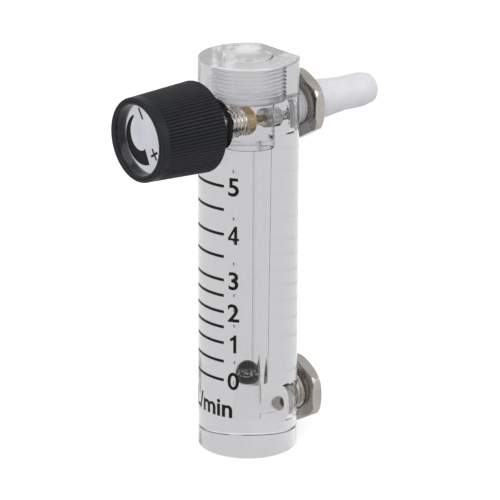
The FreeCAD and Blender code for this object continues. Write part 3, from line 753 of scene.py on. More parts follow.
@dataclass
class ScalePrint:
    """Black scale printed on the column's round side: ticks, figures and the unit."""

    surface: float = COLUMN_RADIUS
    proud: float = 0.012
    sunk: float = 0.03
    tick_left: float = -120.0
    tick_right: float = -67.2
    tick_width: float = 0.76
    tick_heights: tuple[float, ...] = (
        20.8, 25.8, 30.7, 34.9, 38.9, 43.2, 47.3, 53.4, 59.2, 65.6, 71.6)
    figure_angle: float = -55.6
    figure_height: float = 4.75
    figure_weight: float = 0.018
    curve_steps: int = 3
    letter_merge: float = 0.02
    unit_text: str = "L/min"
    unit_angle: float = -90.3
    unit_height: float = 4.95
    unit_base: float = 10.8
    unit_width: float = 14.7
    unit_weight: float = 0.024
    slice_width: float = 0.4
    one: tuple[Outline, ...] = (
        [(0.0, 0.0), (0.165, 0.0), (0.165, 1.0), (0.045, 1.0), (-0.02, 0.9), (-0.18, 0.79),
         (-0.18, 0.64), (0.0, 0.72)],)
    four: tuple[Outline, ...] = (
        [(-0.3, 0.225), (0.04, 0.225), (0.04, 0.35), (-0.155, 0.35), (-0.3, 0.35)],
        [(0.04, 0.225), (0.2, 0.225), (0.2, 0.35), (0.04, 0.35)],
        [(0.2, 0.225), (0.3, 0.225), (0.3, 0.35), (0.2, 0.35)],
        [(0.04, 0.0), (0.2, 0.0), (0.2, 0.225), (0.04, 0.225)],
        [(0.04, 0.35), (0.2, 0.35), (0.2, 1.0), (0.065, 1.0), (0.04, 0.71)],
        [(-0.3, 0.35), (-0.155, 0.35), (0.04, 0.71), (0.065, 1.0)])
    pieces: list[Piece] = field(default_factory=list)

    def wrap(self, flat: Vector, lift: float) -> Vector:
        """Bend a flat point round the column.

        Args:
            flat: arc length from the front of the column, and height, mm.
            lift: distance off the surface, mm.

        Returns:
            The point in metres.
        """
        angle = math.radians(FRONT) + flat.x / self.surface
        radius = self.surface + lift
        return Vector((radius * math.cos(angle), radius * math.sin(angle), flat.y)) * MM

    def arc(self, degrees: float) -> float:
        """Arc length of an angle, counted from the front of the column."""
        return math.radians(degrees - FRONT) * self.surface

    def add(self, name: str, bm: Draft) -> None:
        """Slice a flat print, so that it bends, and lay it round the column.

        Args:
            name: name of the piece.
            bm: flat mesh in millimetres; it is freed.
        """
        left = min(v.co.x for v in bm.verts)
        right = max(v.co.x for v in bm.verts)
        place = left + self.slice_width
        while place < right:
            geometry = bm.verts[:] + bm.edges[:] + bm.faces[:]
            bmesh.ops.bisect_plane(bm, geom=geometry, plane_co=(place, 0, 0),
                                   plane_no=(1, 0, 0), dist=FLAT_MERGE)
            place += self.slice_width
        self.pieces.append(printed(name, bm, self.wrap, self.proud, self.sunk))

    def letters(self, text: str, height: float, weight: float,
                width: float | None = None) -> Draft:
        """Flat shapes of a short text, centred on 0 and standing on 0.

        Args:
            text: the figures or letters.
            height: height of a figure or capital, mm.
            weight: thickening of the strokes, as a share of the height.
            width: full width to stretch the text to, mm.

        Returns:
            The flat mesh in millimetres.
        """
        curve = bpy.data.curves.new("letters", "FONT")
        curve.body = text
        curve.size = 1.0
        curve.resolution_u = self.curve_steps
        curve.offset = weight
        holder = bpy.data.objects.new("letters", curve)
        bpy.context.scene.collection.objects.link(holder)
        bpy.context.view_layer.update()
        mesh = bpy.data.meshes.new_from_object(holder)
        bm = bmesh.new()
        bm.from_mesh(mesh)
        bpy.data.objects.remove(holder)
        bpy.data.curves.remove(curve)
        bpy.data.meshes.remove(mesh)
        low = Vector((min(v.co.x for v in bm.verts), min(v.co.y for v in bm.verts)))
        high = Vector((max(v.co.x for v in bm.verts), max(v.co.y for v in bm.verts)))
        rise = height / (high.y - low.y)
        stretch = width / (high.x - low.x) if width else rise
        middle = (low.x + high.x) / 2
        for v in bm.verts:
            v.co = Vector(((v.co.x - middle) * stretch, (v.co.y - low.y) * rise, 0))
        bmesh.ops.remove_doubles(bm, verts=bm.verts, dist=self.letter_merge)
        return bm

    def add_letters(self, name: str, bm: Draft, angle: float, base: float) -> None:
        """Move a flat text to its place and print it.

        Args:
            name: name of the piece.
            bm: flat text; it is freed.
            angle: middle of the text round the column, degrees.
            base: height of its foot, mm.
        """
        shift = Vector((self.arc(angle), base, 0))
        for v in bm.verts:
            v.co += shift
        self.add(name, bm)

    def tick(self, height: float) -> Draft:
        """Flat bar of one tick.

        Args:
            height: height of its middle on the column, mm.

        Returns:
            The flat mesh in millimetres.
        """
        half = self.tick_width / 2
        left, right = self.arc(self.tick_left), self.arc(self.tick_right)
        return flat_shape([[(left, height - half), (right, height - half),
                            (right, height + half), (left, height + half)]])

    def figure(self, figure: str) -> Draft:
        """Flat shape of one figure; 1 and 4 are drawn from given outlines, the others come as
        letters.

        Args:
            figure: the figure, 0 to 5.

        Returns:
            The flat mesh in millimetres.
        """
        patches = {"1": self.one, "4": self.four}.get(figure)
        if patches:
            return flat_shape(patches, self.figure_height)
        return self.letters(figure, self.figure_height, self.figure_weight)

    def build(self, finishes: Finishes) -> None:
        """Build and dress every printed mark.

        Args:
            finishes: the flowmeter's finishes.
        """
        for index, height in enumerate(self.tick_heights):
            self.add(f"scale_tick_{index}", self.tick(height))
            if index % 2 == 0:
                figure = str(index // 2)
                self.add_letters(f"scale_figure_{figure}", self.figure(figure),
                                 self.figure_angle, height - self.figure_height / 2)
        unit = self.letters(self.unit_text, self.unit_height, self.unit_weight,
                            self.unit_width)
        self.add_letters("scale_unit", unit, self.unit_angle, self.unit_base)
        for piece in self.pieces:
            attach(piece, "flowmeter")
            finishes.dress(piece, Finishes.INK)
            LOG.info("printed %s", piece.name)


class Wall(Enum):
    """Kinds of wall of the clear block, each with its finish."""

    SKIN = Finishes.SHADE_TINTED_ACRYLIC
    BORE = Finishes.BORED_ACRYLIC
    SEALED = Finishes.SEALED_ACRYLIC
    TAPPED = Finishes.TAPPED_ACRYLIC
    TOP = Finishes.SAWN_ACRYLIC
    FOOT = Finishes.FOOT_ACRYLIC


@dataclass
class ClearBlock:
    """Clear D-section block with its bores and tapped holes."""

    radius: float = COLUMN_RADIUS
    height: float = COLUMN_HEIGHT
    flat: float = 10.0
    rim: float = 0.3
    round_steps: int = 200
    flat_steps: int = 16
    feed_radius: float = 2.2
    feed_floor: float = 7.8
    shoulder: float = 17.382
    bore_low: float = 3.305
    bore_high: float = 3.755
    stop_bottom: float = 79.2
    chamber_radius: float = 4.205
    plug_floor: float = 90.95
    plug_wall: float = 6.1
    valve_height: float = VALVE_HEIGHT
    bonnet_wall: float = 4.1
    bonnet_floor: float = 0.5
    spot_face: float = 10.3
    spot_radius: float = 7.15
    seat_wall: float = 2.52
    seat_back: float = 5.0
    outlet_passage: float = 1.2
    inlet_height: float = INLET_HEIGHT
    inlet_passage: float = 2.0
    port_floor: float = 5.6
    port_wall: float = 5.1
    clearance: float = 0.08
    lead_in: float = 0.01
    beyond: float = 2.0
    columns: int = 128
    skin: float = 0.1
    steep: float = 0.5

    def section(self, inset: float) -> Outline:
        """Corners of the D-section, moved inwards.

        Args:
            inset: distance inwards, mm.

        Returns:
            The (x, y) corners, round side first.
        """
        radius, flat = self.radius - inset, self.flat - inset
        half = math.sqrt(radius ** 2 - flat ** 2)
        start = math.pi - math.atan2(flat, half)
        sweep = math.tau - 2 * (start - math.pi / 2)
        corners = []
        for step in range(self.round_steps + 1):
            angle = start + sweep * step / self.round_steps
            corners.append((radius * math.cos(angle), radius * math.sin(angle)))
        for step in range(1, self.flat_steps):
            corners.append((half - 2 * half * step / self.flat_steps, flat))
        return corners

    def blank(self) -> Piece:
        """Block with broken rims, before it is drilled.

        Returns:
            The new object.
        """
        bm = bmesh.new()
        layers = ((self.rim, 0.0), (0.0, self.rim), (0.0, self.height - self.rim),
                  (self.rim, self.height))
        rings = []
        for inset, height in layers:
            rings.append([bm.verts.new(Vector((x, y, height)) * MM)
                          for x, y in self.section(inset)])
        for low, high in zip(rings, rings[1:]):
            for j, corner in enumerate(low):
                k = (j + 1) % len(low)
                bm.faces.new((corner, low[k], high[k], high[j]))
        bm.faces.new(list(reversed(rings[0])))
        bm.faces.new(rings[-1])
        return link_mesh("clear_column", bm)

    def wall_of(self, face: bpy.types.MeshPolygon) -> Wall:
        """Kind of wall that a face of the block belongs to.

        Args:
            face: a face of the drilled block.

        Returns:
            The kind of wall.
        """
        x, y, z = face.center / MM
        reach = math.hypot(x, y)
        outside = reach > self.radius - self.skin or y > self.flat - self.skin
        if outside and abs(face.normal.z) < self.steep:
            return Wall.SKIN
        if z > self.height - self.rim:
            return Wall.TOP
        if z < self.rim:
            return Wall.FOOT
        if reach < self.bore_high + self.skin and self.shoulder < z < self.stop_bottom:
            return Wall.BORE
        if reach > self.chamber_radius + self.skin and z < self.plug_floor:
            return Wall.TAPPED
        return Wall.SEALED

    def tool(self, name: str, axis: Axis, before: Outline, thread: Thread,
             after: Outline) -> Piece:
        """Drill and tap in one: plain steps, a thread, and plain steps to the outside.

        Args:
            name: name of the tool.
            axis: axis of the hole.
            before: corners from the axis to the thread's inner end.
            thread: the tapped wall.
            after: corners from the thread's outer end back to the axis.

        Returns:
            The cutting shape.
        """
        def outline(share: float) -> Outline:
            """Outline of the tool at a share of the full turn."""
            return [*before, *thread.rows(share), *after]

        return turned(name, axis, outline, self.columns, ring=False)

    def tools(self) -> list[Piece]:
        """Cutting shapes of the bore, the valve's hole and the two ports.

        Returns:
            The closed shapes.
        """
        out = self.height + self.beyond
        plug = tapped(PLUG_THREAD, self.clearance, self.height)
        bonnet = tapped(BONNET_THREAD, self.clearance, self.spot_face)
        outlet = tapped(OUTLET_THREAD, self.clearance, self.flat)
        inlet = tapped(INLET_THREAD, self.clearance, self.flat)
        side = self.radius + self.beyond
        port_out = [(outlet.radius, side), (0.0, side)]
        return [
            self.tool("bore_tool", Axis(Lie.UP), [
                (0.0, self.feed_floor), (self.feed_radius, self.feed_floor),
                (self.feed_radius, self.shoulder), (self.bore_low, self.shoulder),
                (self.bore_high, self.stop_bottom), (self.chamber_radius, self.stop_bottom),
                (self.chamber_radius, self.plug_floor), (self.plug_wall, self.plug_floor),
                (self.plug_wall, plug.start - self.lead_in),
            ], plug, [(plug.radius, out), (0.0, out)]),
            self.tool("bonnet_tool", Axis(Lie.VALVE, self.valve_height), [
                (0.0, self.bonnet_floor), (self.bonnet_wall, self.bonnet_floor),
                (self.bonnet_wall, bonnet.start - self.lead_in),
            ], bonnet, [(self.spot_radius, self.spot_face), (self.spot_radius, side),
                        (0.0, side)]),
            self.tool("outlet_tool", Axis(Lie.PORT, self.valve_height), [
                (0.0, 0.0), (self.seat_wall, 0.0), (self.seat_wall, self.seat_back),
                (self.outlet_passage, self.seat_back), (self.outlet_passage, self.port_floor),
                (self.port_wall, self.port_floor),
                (self.port_wall, outlet.start - self.lead_in),
            ], outlet, port_out),
            self.tool("inlet_tool", Axis(Lie.PORT, self.inlet_height), [
                (0.0, 0.0), (self.inlet_passage, 0.0), (self.inlet_passage, self.port_floor),
                (self.port_wall, self.port_floor),
                (self.port_wall, inlet.start - self.lead_in),
            ], inlet, port_out),
        ]

    def build(self, finishes: Finishes) -> None:
        """Build and dress the drilled block.

        Args:
            finishes: the flowmeter's finishes.
        """
        tools = self.tools()
        piece = self.blank()
        carve(piece, tools)
        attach(piece, "flowmeter")
        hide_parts("meter_body")
        walls = list(Wall)
        finishes.dress(piece, walls[0].value)
        for wall in walls[1:]:
            piece.data.materials.append(finishes.of(wall.value))
        for face in piece.data.polygons:
            face.material_index = walls.index(self.wall_of(face))
        LOG.info("built %s", piece.name)


@dataclass
class Column:
    """Clear column, the plug that closes its bore, its float, stop and seal."""

    scale: ScalePrint = field(default_factory=ScalePrint)
    block: ClearBlock = field(default_factory=ClearBlock)
    plug_thread: Thread = PLUG_THREAD
    top_skin: float = 0.05
    columns: int = 96

    def build(self, finishes: Finishes) -> None:
        """Build and dress the column's pieces.

        Args:
            finishes: the flowmeter's finishes.
        """
        self.block.build(finishes)
        finishes.dress_nodes(upper_float_stop=Finishes.PLUG, plug_seal=Finishes.SILICONE,
                             float_ball=Finishes.FLOAT)
        plug = turned("threaded_top_plug", Axis(Lie.UP), self.plug_outline, self.columns,
                      ring=False)
        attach(plug, "flowmeter")
        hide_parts("top_plug")
        finishes.dress(plug, Finishes.PLUG)
        top = (self.plug_thread.end - self.top_skin) * MM
        finishes.dress_faces(plug, Finishes.SAWN_ACRYLIC, lambda face: face.center.z > top)
        LOG.info("built %s", plug.name)
        self.scale.build(finishes)

    def plug_outline(self, share: float) -> Outline:
        """Outline of the plug at a share of the full turn."""
        thread = self.plug_thread
        return [(0.0, thread.start), *thread.rows(share), (0.0, thread.end)]


# Needle valve and knob


@dataclass
class NeedleValve:
    """Threaded bonnet with its hexagon, spindle, seat, washer and seal."""

    height: float = VALVE_HEIGHT
    shank: Thread = BONNET_THREAD
    nose_start: float = 1.0
    nose_radius: float = 3.8
    hexagon_start: float = 11.15
    hexagon_end: float = 14.5
    hexagon_flats: float = 11.0
    hexagon_turn: float = 18.0
    hexagon_face_radius: float = 5.3
    hexagon_chamfer: float = 30.0
    bore_thread: float = 2.5
    bore_stem: float = 2.05
    gland_radius: float = 3.0
    bore_shoulder: float = 8.9
    gland_start: float = 9.8
    gland_end: float = 11.0
    columns: int = 120

    def build(self, finishes: Finishes) -> None:
        """Build and dress the valve's pieces.

        Args:
            finishes: the flowmeter's finishes.
        """
        axis = Axis(Lie.VALVE, self.height)
        bonnet = turned("threaded_bonnet", axis, self.bonnet_outline, self.columns)
        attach(bonnet, "flowmeter")
        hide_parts("valve_bonnet")
        finishes.dress(bonnet, Finishes.SATIN_NICKEL)
        nose = self.shank.start * MM
        finishes.dress_faces(bonnet, Finishes.BRASS, lambda face: -face.center.y < nose)
        LOG.info("built %s", bonnet.name)
        finishes.dress_nodes(bonnet_washer=Finishes.RUBBER, spindle_seal=Finishes.RUBBER,
                             valve_spindle=Finishes.BRASS, valve_seat=Finishes.SEAT)

    def bonnet_outline(self, share: float) -> Outline:
        """Outline of the bonnet at a share of the full turn.

        Args:
            share: share of the full turn.

        Returns:
            The closed outline of (radius, along) corners.
        """
        side = hexagon_radius(self.hexagon_flats, share, self.hexagon_turn)
        face = min(self.hexagon_face_radius, side)
        fall = (side - face) * math.tan(math.radians(self.hexagon_chamfer))
        return [
            (self.bore_thread, self.nose_start),
            (self.nose_radius, self.nose_start),
            (self.nose_radius, self.shank.start),
            *self.shank.rows(share),
            (self.shank.radius, self.hexagon_start),
            (side, self.hexagon_start),
            (side, self.hexagon_end - fall),
            (face, self.hexagon_end),
            (self.bore_stem, self.hexagon_end),
            (self.bore_stem, self.gland_end),
            (self.gland_radius, self.gland_end),
            (self.gland_radius, self.gland_start),
            (self.bore_stem, self.gland_start),
            (self.bore_stem, self.bore_shoulder),
            (self.bore_thread, self.bore_shoulder),
        ]


@dataclass
class ControlKnob:
    """Ribbed knob with its fittings, its bright label and the marks on it."""

    height: float = VALVE_HEIGHT
    label_face: float = 32.65
    front: float = 34.4
    lip_radius: float = 9.43
    lip_opening: float = 8.75
    lip_round: float = 0.12
    lip_round_middle: float = 0.3
    lip_gap: float = 0.01
    lip_columns: int = 144
    wall_slope: float = 0.5
    mark_turn: float = -57.0
    wedge_start: float = 180.0
    wedge_end: float = 353.6
    wedge_outer: float = 6.4
    wedge_thin: float = 5.95
    wedge_thick: float = 2.4
    wedge_growth: float = 0.8
    wedge_steps: int = 48
    minus_place: tuple[float, float] = (6.32, 152.2)
    plus_place: tuple[float, float] = (5.45, 27.3)
    bar_length: float = 3.0
    bar_width: float = 0.6
    proud: float = 0.015
    sunk: float = 0.02

    def place(self, flat: Vector, lift: float) -> Vector:
        """Place a point of the label's drawing, seen from the front.

        Args:
            flat: to the right and upwards in the drawing, mm.
            lift: distance off the label's face, mm.

        Returns:
            The point in metres.
        """
        turn = math.radians(self.mark_turn)
        x = flat.x * math.cos(turn) - flat.y * math.sin(turn)
        z = flat.x * math.sin(turn) + flat.y * math.cos(turn)
        return Vector((x, -(self.label_face + lift), self.height + z)) * MM

    def wedge(self) -> list[Outline]:
        """Patches of the crescent wedge that grows from minus to plus.

        Returns:
            Four corners for each patch.
        """
        rows = []
        for step in range(self.wedge_steps + 1):
            share = step / self.wedge_steps
            angle = math.radians(self.wedge_start + (self.wedge_end - self.wedge_start) * share)
            growth = share ** self.wedge_growth
            inner = self.wedge_thin + (self.wedge_thick - self.wedge_thin) * growth
            rows.append([(r * math.cos(angle), r * math.sin(angle))
                         for r in (inner, self.wedge_outer)])
        return [[a[0], a[1], b[1], b[0]] for a, b in zip(rows, rows[1:])]

    def bar(self, place: tuple[float, float], upright: bool = False) -> Outline:
        """Corners of one bar of the plus or minus sign.

        Args:
            place: distance and direction (degrees) from the label's middle.
            upright: True for the plus sign's upright bar.

        Returns:
            The four corners.
        """
        radius, turn = place[0], math.radians(place[1])
        x, y = radius * math.cos(turn), radius * math.sin(turn)
        run, rise = self.bar_length / 2, self.bar_width / 2
        if upright:
            run, rise = rise, run
        return [(x - run, y - rise), (x + run, y - rise), (x + run, y + rise),
                (x - run, y + rise)]

    def plus(self) -> list[Outline]:
        """Patches of the plus sign: its level bar, and the upright bar above and below it.

        Returns:
            Corners for each patch.
        """
        (x0, y0), _, (x1, y1), _ = self.bar(self.plus_place)
        (u0, v0), _, (u1, v1), _ = self.bar(self.plus_place, upright=True)
        return [
            [(x0, y0), (u0, y0), (u0, y1), (x0, y1)],
            [(u0, y0), (u1, y0), (u1, y1), (u0, y1)],
            [(u1, y0), (x1, y0), (x1, y1), (u1, y1)],
            [(u0, y1), (u1, y1), (u1, v1), (u0, v1)],
            [(u0, v0), (u1, v0), (u1, y0), (u0, y0)],
        ]

    def lip_outline(self, _share: float) -> Outline:
        """Outline of the lip that holds the label.

        Args:
            _share: share of the full turn, not used: the lip is the same all the way round.

        Returns:
            The closed outline of (radius, along) corners.
        """
        back, front = self.label_face + self.lip_gap, self.front - self.lip_gap
        middle = self.lip_round * self.lip_round_middle
        return [
            (self.lip_opening, back),
            (self.lip_opening, front - self.lip_round),
            (self.lip_opening + middle, front - middle),
            (self.lip_opening + self.lip_round, front),
            (self.lip_radius, front),
            (self.lip_radius, back),
        ]

    def lip(self, finishes: Finishes) -> None:
        """Build and dress the lip round the label, polished on the inside.

        Args:
            finishes: the flowmeter's finishes.
        """
        piece = turned("knob_lip", Axis(Lie.VALVE, self.height), self.lip_outline,
                       self.lip_columns)
        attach(piece, "control_knob")
        finishes.dress(piece, Finishes.KNOB)
        finishes.dress_faces(piece, Finishes.POLISHED_KNOB,
                             lambda face: abs(face.normal.y) < self.wall_slope)
        LOG.info("built %s", piece.name)

    def build(self, finishes: Finishes) -> None:
        """Build and dress the knob's pieces.

        Args:
            finishes: the flowmeter's finishes.
        """
        self.lip(finishes)
        finishes.dress_nodes(knob=Finishes.KNOB, knob_bush=Finishes.BRASS,
                             knob_set_screw=Finishes.STEEL, knob_label=Finishes.LABEL)
        marks = {
            "label_wedge": self.wedge(),
            "label_minus": [self.bar(self.minus_place)],
            "label_plus": self.plus(),
        }
        for name, patches in marks.items():
            piece = printed(name, flat_shape(patches), self.place, self.proud, self.sunk)
            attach(piece, "control_knob")
            finishes.dress(piece, Finishes.INK)
            LOG.info("printed %s", piece.name)


# Ports behind the column


@dataclass(frozen=True)
class PanelNut:
    """Hexagon nut with domed corners on both faces."""

    node: str
    height: float
    near: float = 14.6
    far: float = 18.0
    flats: float = 16.0
    first_corner: float = 30.0
    corner_limit: float = 9.08
    face_radius: float = 6.8
    dome_radius: float = 9.14
    dome_fall: float = 1.55
    dome_steps: int = 8
    hole: float = 5.06
    mouth: float = 0.35
    columns: int = 192

    def dome(self, side: float) -> Outline:
        """Domed corner from the flat face out to a hexagon's side.

        Args:
            side: distance from the axis to the side, mm.

        Returns:
            Corners of (radius, fall below the face).
        """
        corners = []
        for step in range(self.dome_steps + 1):
            radius = self.face_radius + (side - self.face_radius) * step / self.dome_steps
            share = (radius - self.face_radius) / (self.dome_radius - self.face_radius)
            corners.append((radius, self.dome_fall * (1 - math.sqrt(1 - share ** 2))))
        return corners

    def outline(self, share: float) -> Outline:
        """Outline of the nut at a share of the full turn.

        Args:
            share: share of the full turn.

        Returns:
            The closed outline of (radius, along) corners.
        """
        side = min(hexagon_radius(self.flats, share, self.first_corner), self.corner_limit)
        dome = self.dome(side)
        return [
            (self.hole, self.far - self.mouth),
            (self.hole, self.near + self.mouth),
            (self.hole + self.mouth, self.near),
            *((radius, self.near + fall) for radius, fall in dome),
            *((radius, self.far - fall) for radius, fall in reversed(dome)),
            (self.hole + self.mouth, self.far),
        ]

    def build(self, finishes: Finishes) -> None:
        """Build and dress the nut.

        Args:
            finishes: the flowmeter's finishes.
        """
        piece = turned("domed_" + self.node, Axis(Lie.PORT, self.height), self.outline,
                       self.columns)
        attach(piece, "flowmeter")
        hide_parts(self.node)
        finishes.dress(piece, Finishes.NICKEL)
        LOG.info("built %s", piece.name)


@dataclass
class Port:
    """Threaded shank through the column's flat, its seal and its panel nut."""

    height: float
    node: str
    nut: str
    seal: str
    shank: Thread
    columns: int = 96

    def outline(self, share: float) -> Outline:
        """Outline of the fitting at a share of the full turn."""
        raise NotImplementedError

    def finish(self) -> MouldedFinish | MetalFinish:
        """Finish of the fitting."""
        raise NotImplementedError

    def slot_name(self) -> str:
        """Material slot of the fitting in the record."""
        raise NotImplementedError

    def build(self, finishes: Finishes) -> None:
        """Build and dress the port's pieces.

        Args:
            finishes: the flowmeter's finishes.
        """
        piece = turned("threaded_" + self.node, Axis(Lie.PORT, self.height), self.outline,
                       self.columns)
        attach(piece, "flowmeter")
        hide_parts(self.node)
        finishes.dress(piece, self.finish())
        finishes.dress_nodes(**{self.seal: Finishes.SILICONE})
        PanelNut(self.nut, self.height).build(finishes)
        LOG.info("built %s", piece.name)


@dataclass
class OutletPort(Port):
    """Outlet with its hose spout, moulded in white nylon."""

    neck: tuple[float, float] = (4.28, 30.0)
    land_start: tuple[float, float] = (4.38, 33.2)
    land_end: tuple[float, float] = (4.38, 35.8)
    tip: tuple[float, float] = (3.96, 39.3)
    tip_rounding: float = 1.2
    rounding_steps: int = 6
    shank_end: float = 22.4
    bore: float = 2.0
    mouth: float = 0.25

    def outline(self, share: float) -> Outline:
        """Outline of the spout at a share of the full turn.

        Args:
            share: share of the full turn.

        Returns:
            The closed outline of (radius, along) corners.
        """
        radius, end = self.tip
        rounding = []
        for step in range(self.rounding_steps + 1):
            turn = math.radians(90 * step / self.rounding_steps)
            rounding.append((radius - self.tip_rounding * (1 - math.cos(turn)),
                             end - self.tip_rounding * (1 - math.sin(turn))))
        return [
            (self.bore, self.shank.start),
            *self.shank.rows(share),
            (self.shank.radius, self.shank_end),
            self.neck,
            self.land_start,
            self.land_end,
            *rounding,
            (self.bore + self.mouth, end),
            (self.bore, end - self.mouth),
        ]

    def finish(self) -> MouldedFinish:
        """Finish of the spout."""
        return Finishes.NYLON

    def slot_name(self) -> str:
        """Material slot of the spout."""
        return "white_nylon"


@dataclass
class InletPort(Port):
    """Inlet fitting with a socket for the supply."""

    socket: float = 3.0
    socket_floor: float = 11.6
    bore: float = 2.0
    mouth: float = 0.2

    def outline(self, share: float) -> Outline:
        """Outline of the inlet fitting at a share of the full turn.

        Args:
            share: share of the full turn.

        Returns:
            The closed outline of (radius, along) corners.
        """
        return [
            (self.bore, self.shank.start),
            *self.shank.rows(share),
            (self.socket + self.mouth, self.shank.end),
            (self.socket, self.shank.end - self.mouth),
            (self.socket, self.socket_floor),
            (self.bore, self.socket_floor),
        ]

    def finish(self) -> MetalFinish:
        """Finish of the inlet fitting."""
        return Finishes.TURNED_NICKEL

    def slot_name(self) -> str:
        """Material slot of the inlet fitting."""
        return "port_metal"


# Studio: camera, light and floor


def towards(azimuth: float, elevation: float) -> Vector:
    """Direction from the object to a camera or a lamp.

    Args:
        azimuth: turn from the front to the object's right, degrees.
        elevation: angle above the level, degrees.

    Returns:
        The direction, of length 1.
    """
    a, e = math.radians(azimuth), math.radians(elevation)
    return Vector((math.sin(a) * math.cos(e), -math.cos(a) * math.cos(e), math.sin(e)))


@dataclass(frozen=True)
class PhotoCamera:
    """Camera at the photograph's viewing angle."""

    azimuth: float = 51.09
    elevation: float = 19.345
    roll: float = 0.202
    distance: float = 777.649
    focal_pixels: float = 3118.363
    aim_height: float = 51.299
    aim_shift: float = 0.484
    sensor: float = 36.0
    clip: tuple[float, float] = (0.01, 50.0)

    def build(self) -> Piece:
        """Create the camera and make it the scene's.

        Returns:
            The camera object.
        """
        a, r = math.radians(self.azimuth), math.radians(self.roll)
        back = towards(self.azimuth, self.elevation)
        level = Vector((math.cos(a), math.sin(a), 0))
        upright = back.cross(level)
        right = math.cos(r) * level + math.sin(r) * upright
        up = math.cos(r) * upright - math.sin(r) * level
        aim = (Vector((0, 0, self.aim_height)) + level * self.aim_shift) * MM
        data = bpy.data.cameras.new("photo_camera")
        data.sensor_fit = "HORIZONTAL"
        data.sensor_width = self.sensor
        data.lens = self.sensor * self.focal_pixels / PHOTO_WIDTH
        data.clip_start, data.clip_end = self.clip
        camera = bpy.data.objects.new("photo_camera", data)
        camera.matrix_world = (Matrix.Translation(aim + back * self.distance * MM)
                               @ Matrix((right, up, back)).transposed().to_4x4())
        bpy.context.scene.collection.objects.link(camera)
        bpy.context.scene.camera = camera
        return camera


@dataclass(frozen=True)
class SoftLamp:
    """Square lamp that faces the middle of the object; its distance and size are in metres."""

    name: str
    azimuth: float
    elevation: float
    distance: float
    size: float
    power: float

    def build(self, aim: Vector) -> None:
        """Create the lamp.

        Args:
            aim: the point that it faces, in metres.
        """
        back = towards(self.azimuth, self.elevation)
        data = bpy.data.lights.new(self.name, "AREA")
        data.shape = "SQUARE"
        data.size = self.size
        data.energy = self.power
        lamp = bpy.data.objects.new(self.name, data)
        lamp.location = aim + back * self.distance
        lamp.rotation_euler = back.to_track_quat("Z", "Y").to_euler()
        bpy.context.scene.collection.objects.link(lamp)


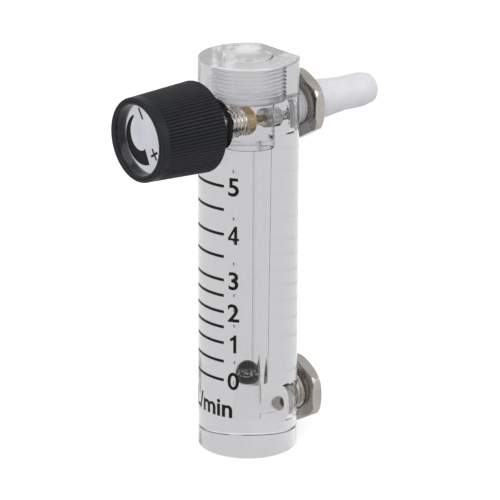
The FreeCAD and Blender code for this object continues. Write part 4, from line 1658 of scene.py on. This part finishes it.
@dataclass
class Studio:
    """White backdrop, soft lamps and a pale floor that keeps the shadow; in metres."""

    floor_half: float = 4.0
    floor_gap: float = 0.00003
    floor_colour: Colour = tone(200, 200, 201)
    floor_shade: float = 0.99
    floor_cloud: float = 0.002
    floor_roughness: float = 0.9
    floor_lift: float = 0.58
    fill_strength: float = 0.7
    bounces: int = 24
    middle: tuple[float, float, float] = (0.0, 0.0, 0.05)
    lamps: tuple[SoftLamp, ...] = (
        SoftLamp("key_lamp", azimuth=28.0, elevation=40.0, distance=1.1, size=0.9, power=6.0),
        SoftLamp("side_lamp", azimuth=110.0, elevation=30.0, distance=1.2, size=0.8,
                 power=4.5),
    )

    def seen_directly(self, tree: bpy.types.NodeTree) -> Socket:
        """Socket that is 1 for camera, glossy and transmission rays.

        Args:
            tree: node tree of the world or of a material.

        Returns:
            The socket.
        """
        path = tree.nodes.new("ShaderNodeLightPath")
        total = path.outputs["Is Camera Ray"]
        for name in ("Is Glossy Ray", "Is Transmission Ray"):
            larger = tree.nodes.new("ShaderNodeMath")
            larger.operation = "MAXIMUM"
            tree.links.new(total, larger.inputs[0])
            tree.links.new(path.outputs[name], larger.inputs[1])
            total = larger.outputs["Value"]
        return total

    def build_world(self) -> None:
        """White world where it is seen, a plain level where it lights."""
        world = bpy.data.worlds.new("studio")
        bpy.context.scene.world = world
        world.use_nodes = True
        tree = world.node_tree
        tree.nodes.clear()
        output = tree.nodes.new("ShaderNodeOutputWorld")
        mix = tree.nodes.new("ShaderNodeMixShader")
        tree.links.new(self.seen_directly(tree), mix.inputs["Fac"])
        for slot, strength in ((1, self.fill_strength), (2, 1.0)):
            background = tree.nodes.new("ShaderNodeBackground")
            background.inputs["Strength"].default_value = strength
            background.inputs["Color"].default_value = (1.0, 1.0, 1.0, 1.0)
            tree.links.new(background.outputs["Background"], mix.inputs[slot])
        tree.links.new(mix.outputs["Shader"], output.inputs["Surface"])

    def floor_material(self) -> bpy.types.Material:
        """Pale material, lifted to white where it is seen, darker under the object.

        Returns:
            The finished material.
        """
        recipe = Recipe("floor")
        darker = tuple(self.floor_shade * part for part in self.floor_colour)
        cloud = recipe.noise(self.floor_cloud, GRAIN_OCTAVES)
        recipe.feed(Base_Color=recipe.clouded(cloud, self.floor_colour, darker))
        recipe.settle(Roughness=self.floor_roughness, Specular_IOR_Level=0.0)
        glow = recipe.node("ShaderNodeEmission")
        lift = recipe.maths("MULTIPLY", self.seen_directly(recipe.tree), self.floor_lift)
        recipe.join(lift, glow.inputs["Strength"])
        both = recipe.node("ShaderNodeAddShader")
        recipe.join(recipe.shader.outputs["BSDF"], both.inputs[0])
        recipe.join(glow.outputs["Emission"], both.inputs[1])
        plain = recipe.node("ShaderNodeEmission")
        through = recipe.node("ShaderNodeMixShader")
        path = recipe.node("ShaderNodeLightPath")
        recipe.join(path.outputs["Is Transmission Ray"], through.inputs["Fac"])
        recipe.join(both.outputs["Shader"], through.inputs[1])
        recipe.join(plain.outputs["Emission"], through.inputs[2])
        recipe.join(through.outputs["Shader"], recipe.output.inputs["Surface"])
        return recipe.material

    def build_floor(self) -> None:
        """Floor just under the object's foot."""
        bm = bmesh.new()
        half, low = self.floor_half, -self.floor_gap
        corners = ((-half, -half), (half, -half), (half, half), (-half, half))
        bm.faces.new([bm.verts.new((x, y, low)) for x, y in corners])
        floor = link_mesh("floor", bm)
        floor.data.materials.append(self.floor_material())

    def build(self) -> None:
        """Create world, floor and lamps."""
        self.build_world()
        self.build_floor()
        for lamp in self.lamps:
            lamp.build(Vector(self.middle))
        scene = bpy.context.scene
        scene.view_settings.view_transform = "Standard"
        scene.cycles.max_bounces = self.bounces
        scene.cycles.transmission_bounces = self.bounces


def main() -> None:
    """Build the flowmeter's sub-assemblies and the studio, in order."""
    logging.basicConfig(level=logging.INFO, format="%(name)s: %(message)s")
    finishes = Finishes()
    assemblies = (
        Column(),
        NeedleValve(),
        ControlKnob(),
        OutletPort(height=VALVE_HEIGHT, node="outlet_spout", nut="outlet_nut",
                   seal="outlet_seal", shank=OUTLET_THREAD),
        InletPort(height=INLET_HEIGHT, node="inlet_fitting", nut="inlet_nut",
                  seal="inlet_seal", shank=INLET_THREAD),
    )
    for assembly in assemblies:
        assembly.build(finishes)
        LOG.info("finished %s", type(assembly).__name__)
    PhotoCamera().build()
    Studio().build()


if __name__ == "__main__":
    main()
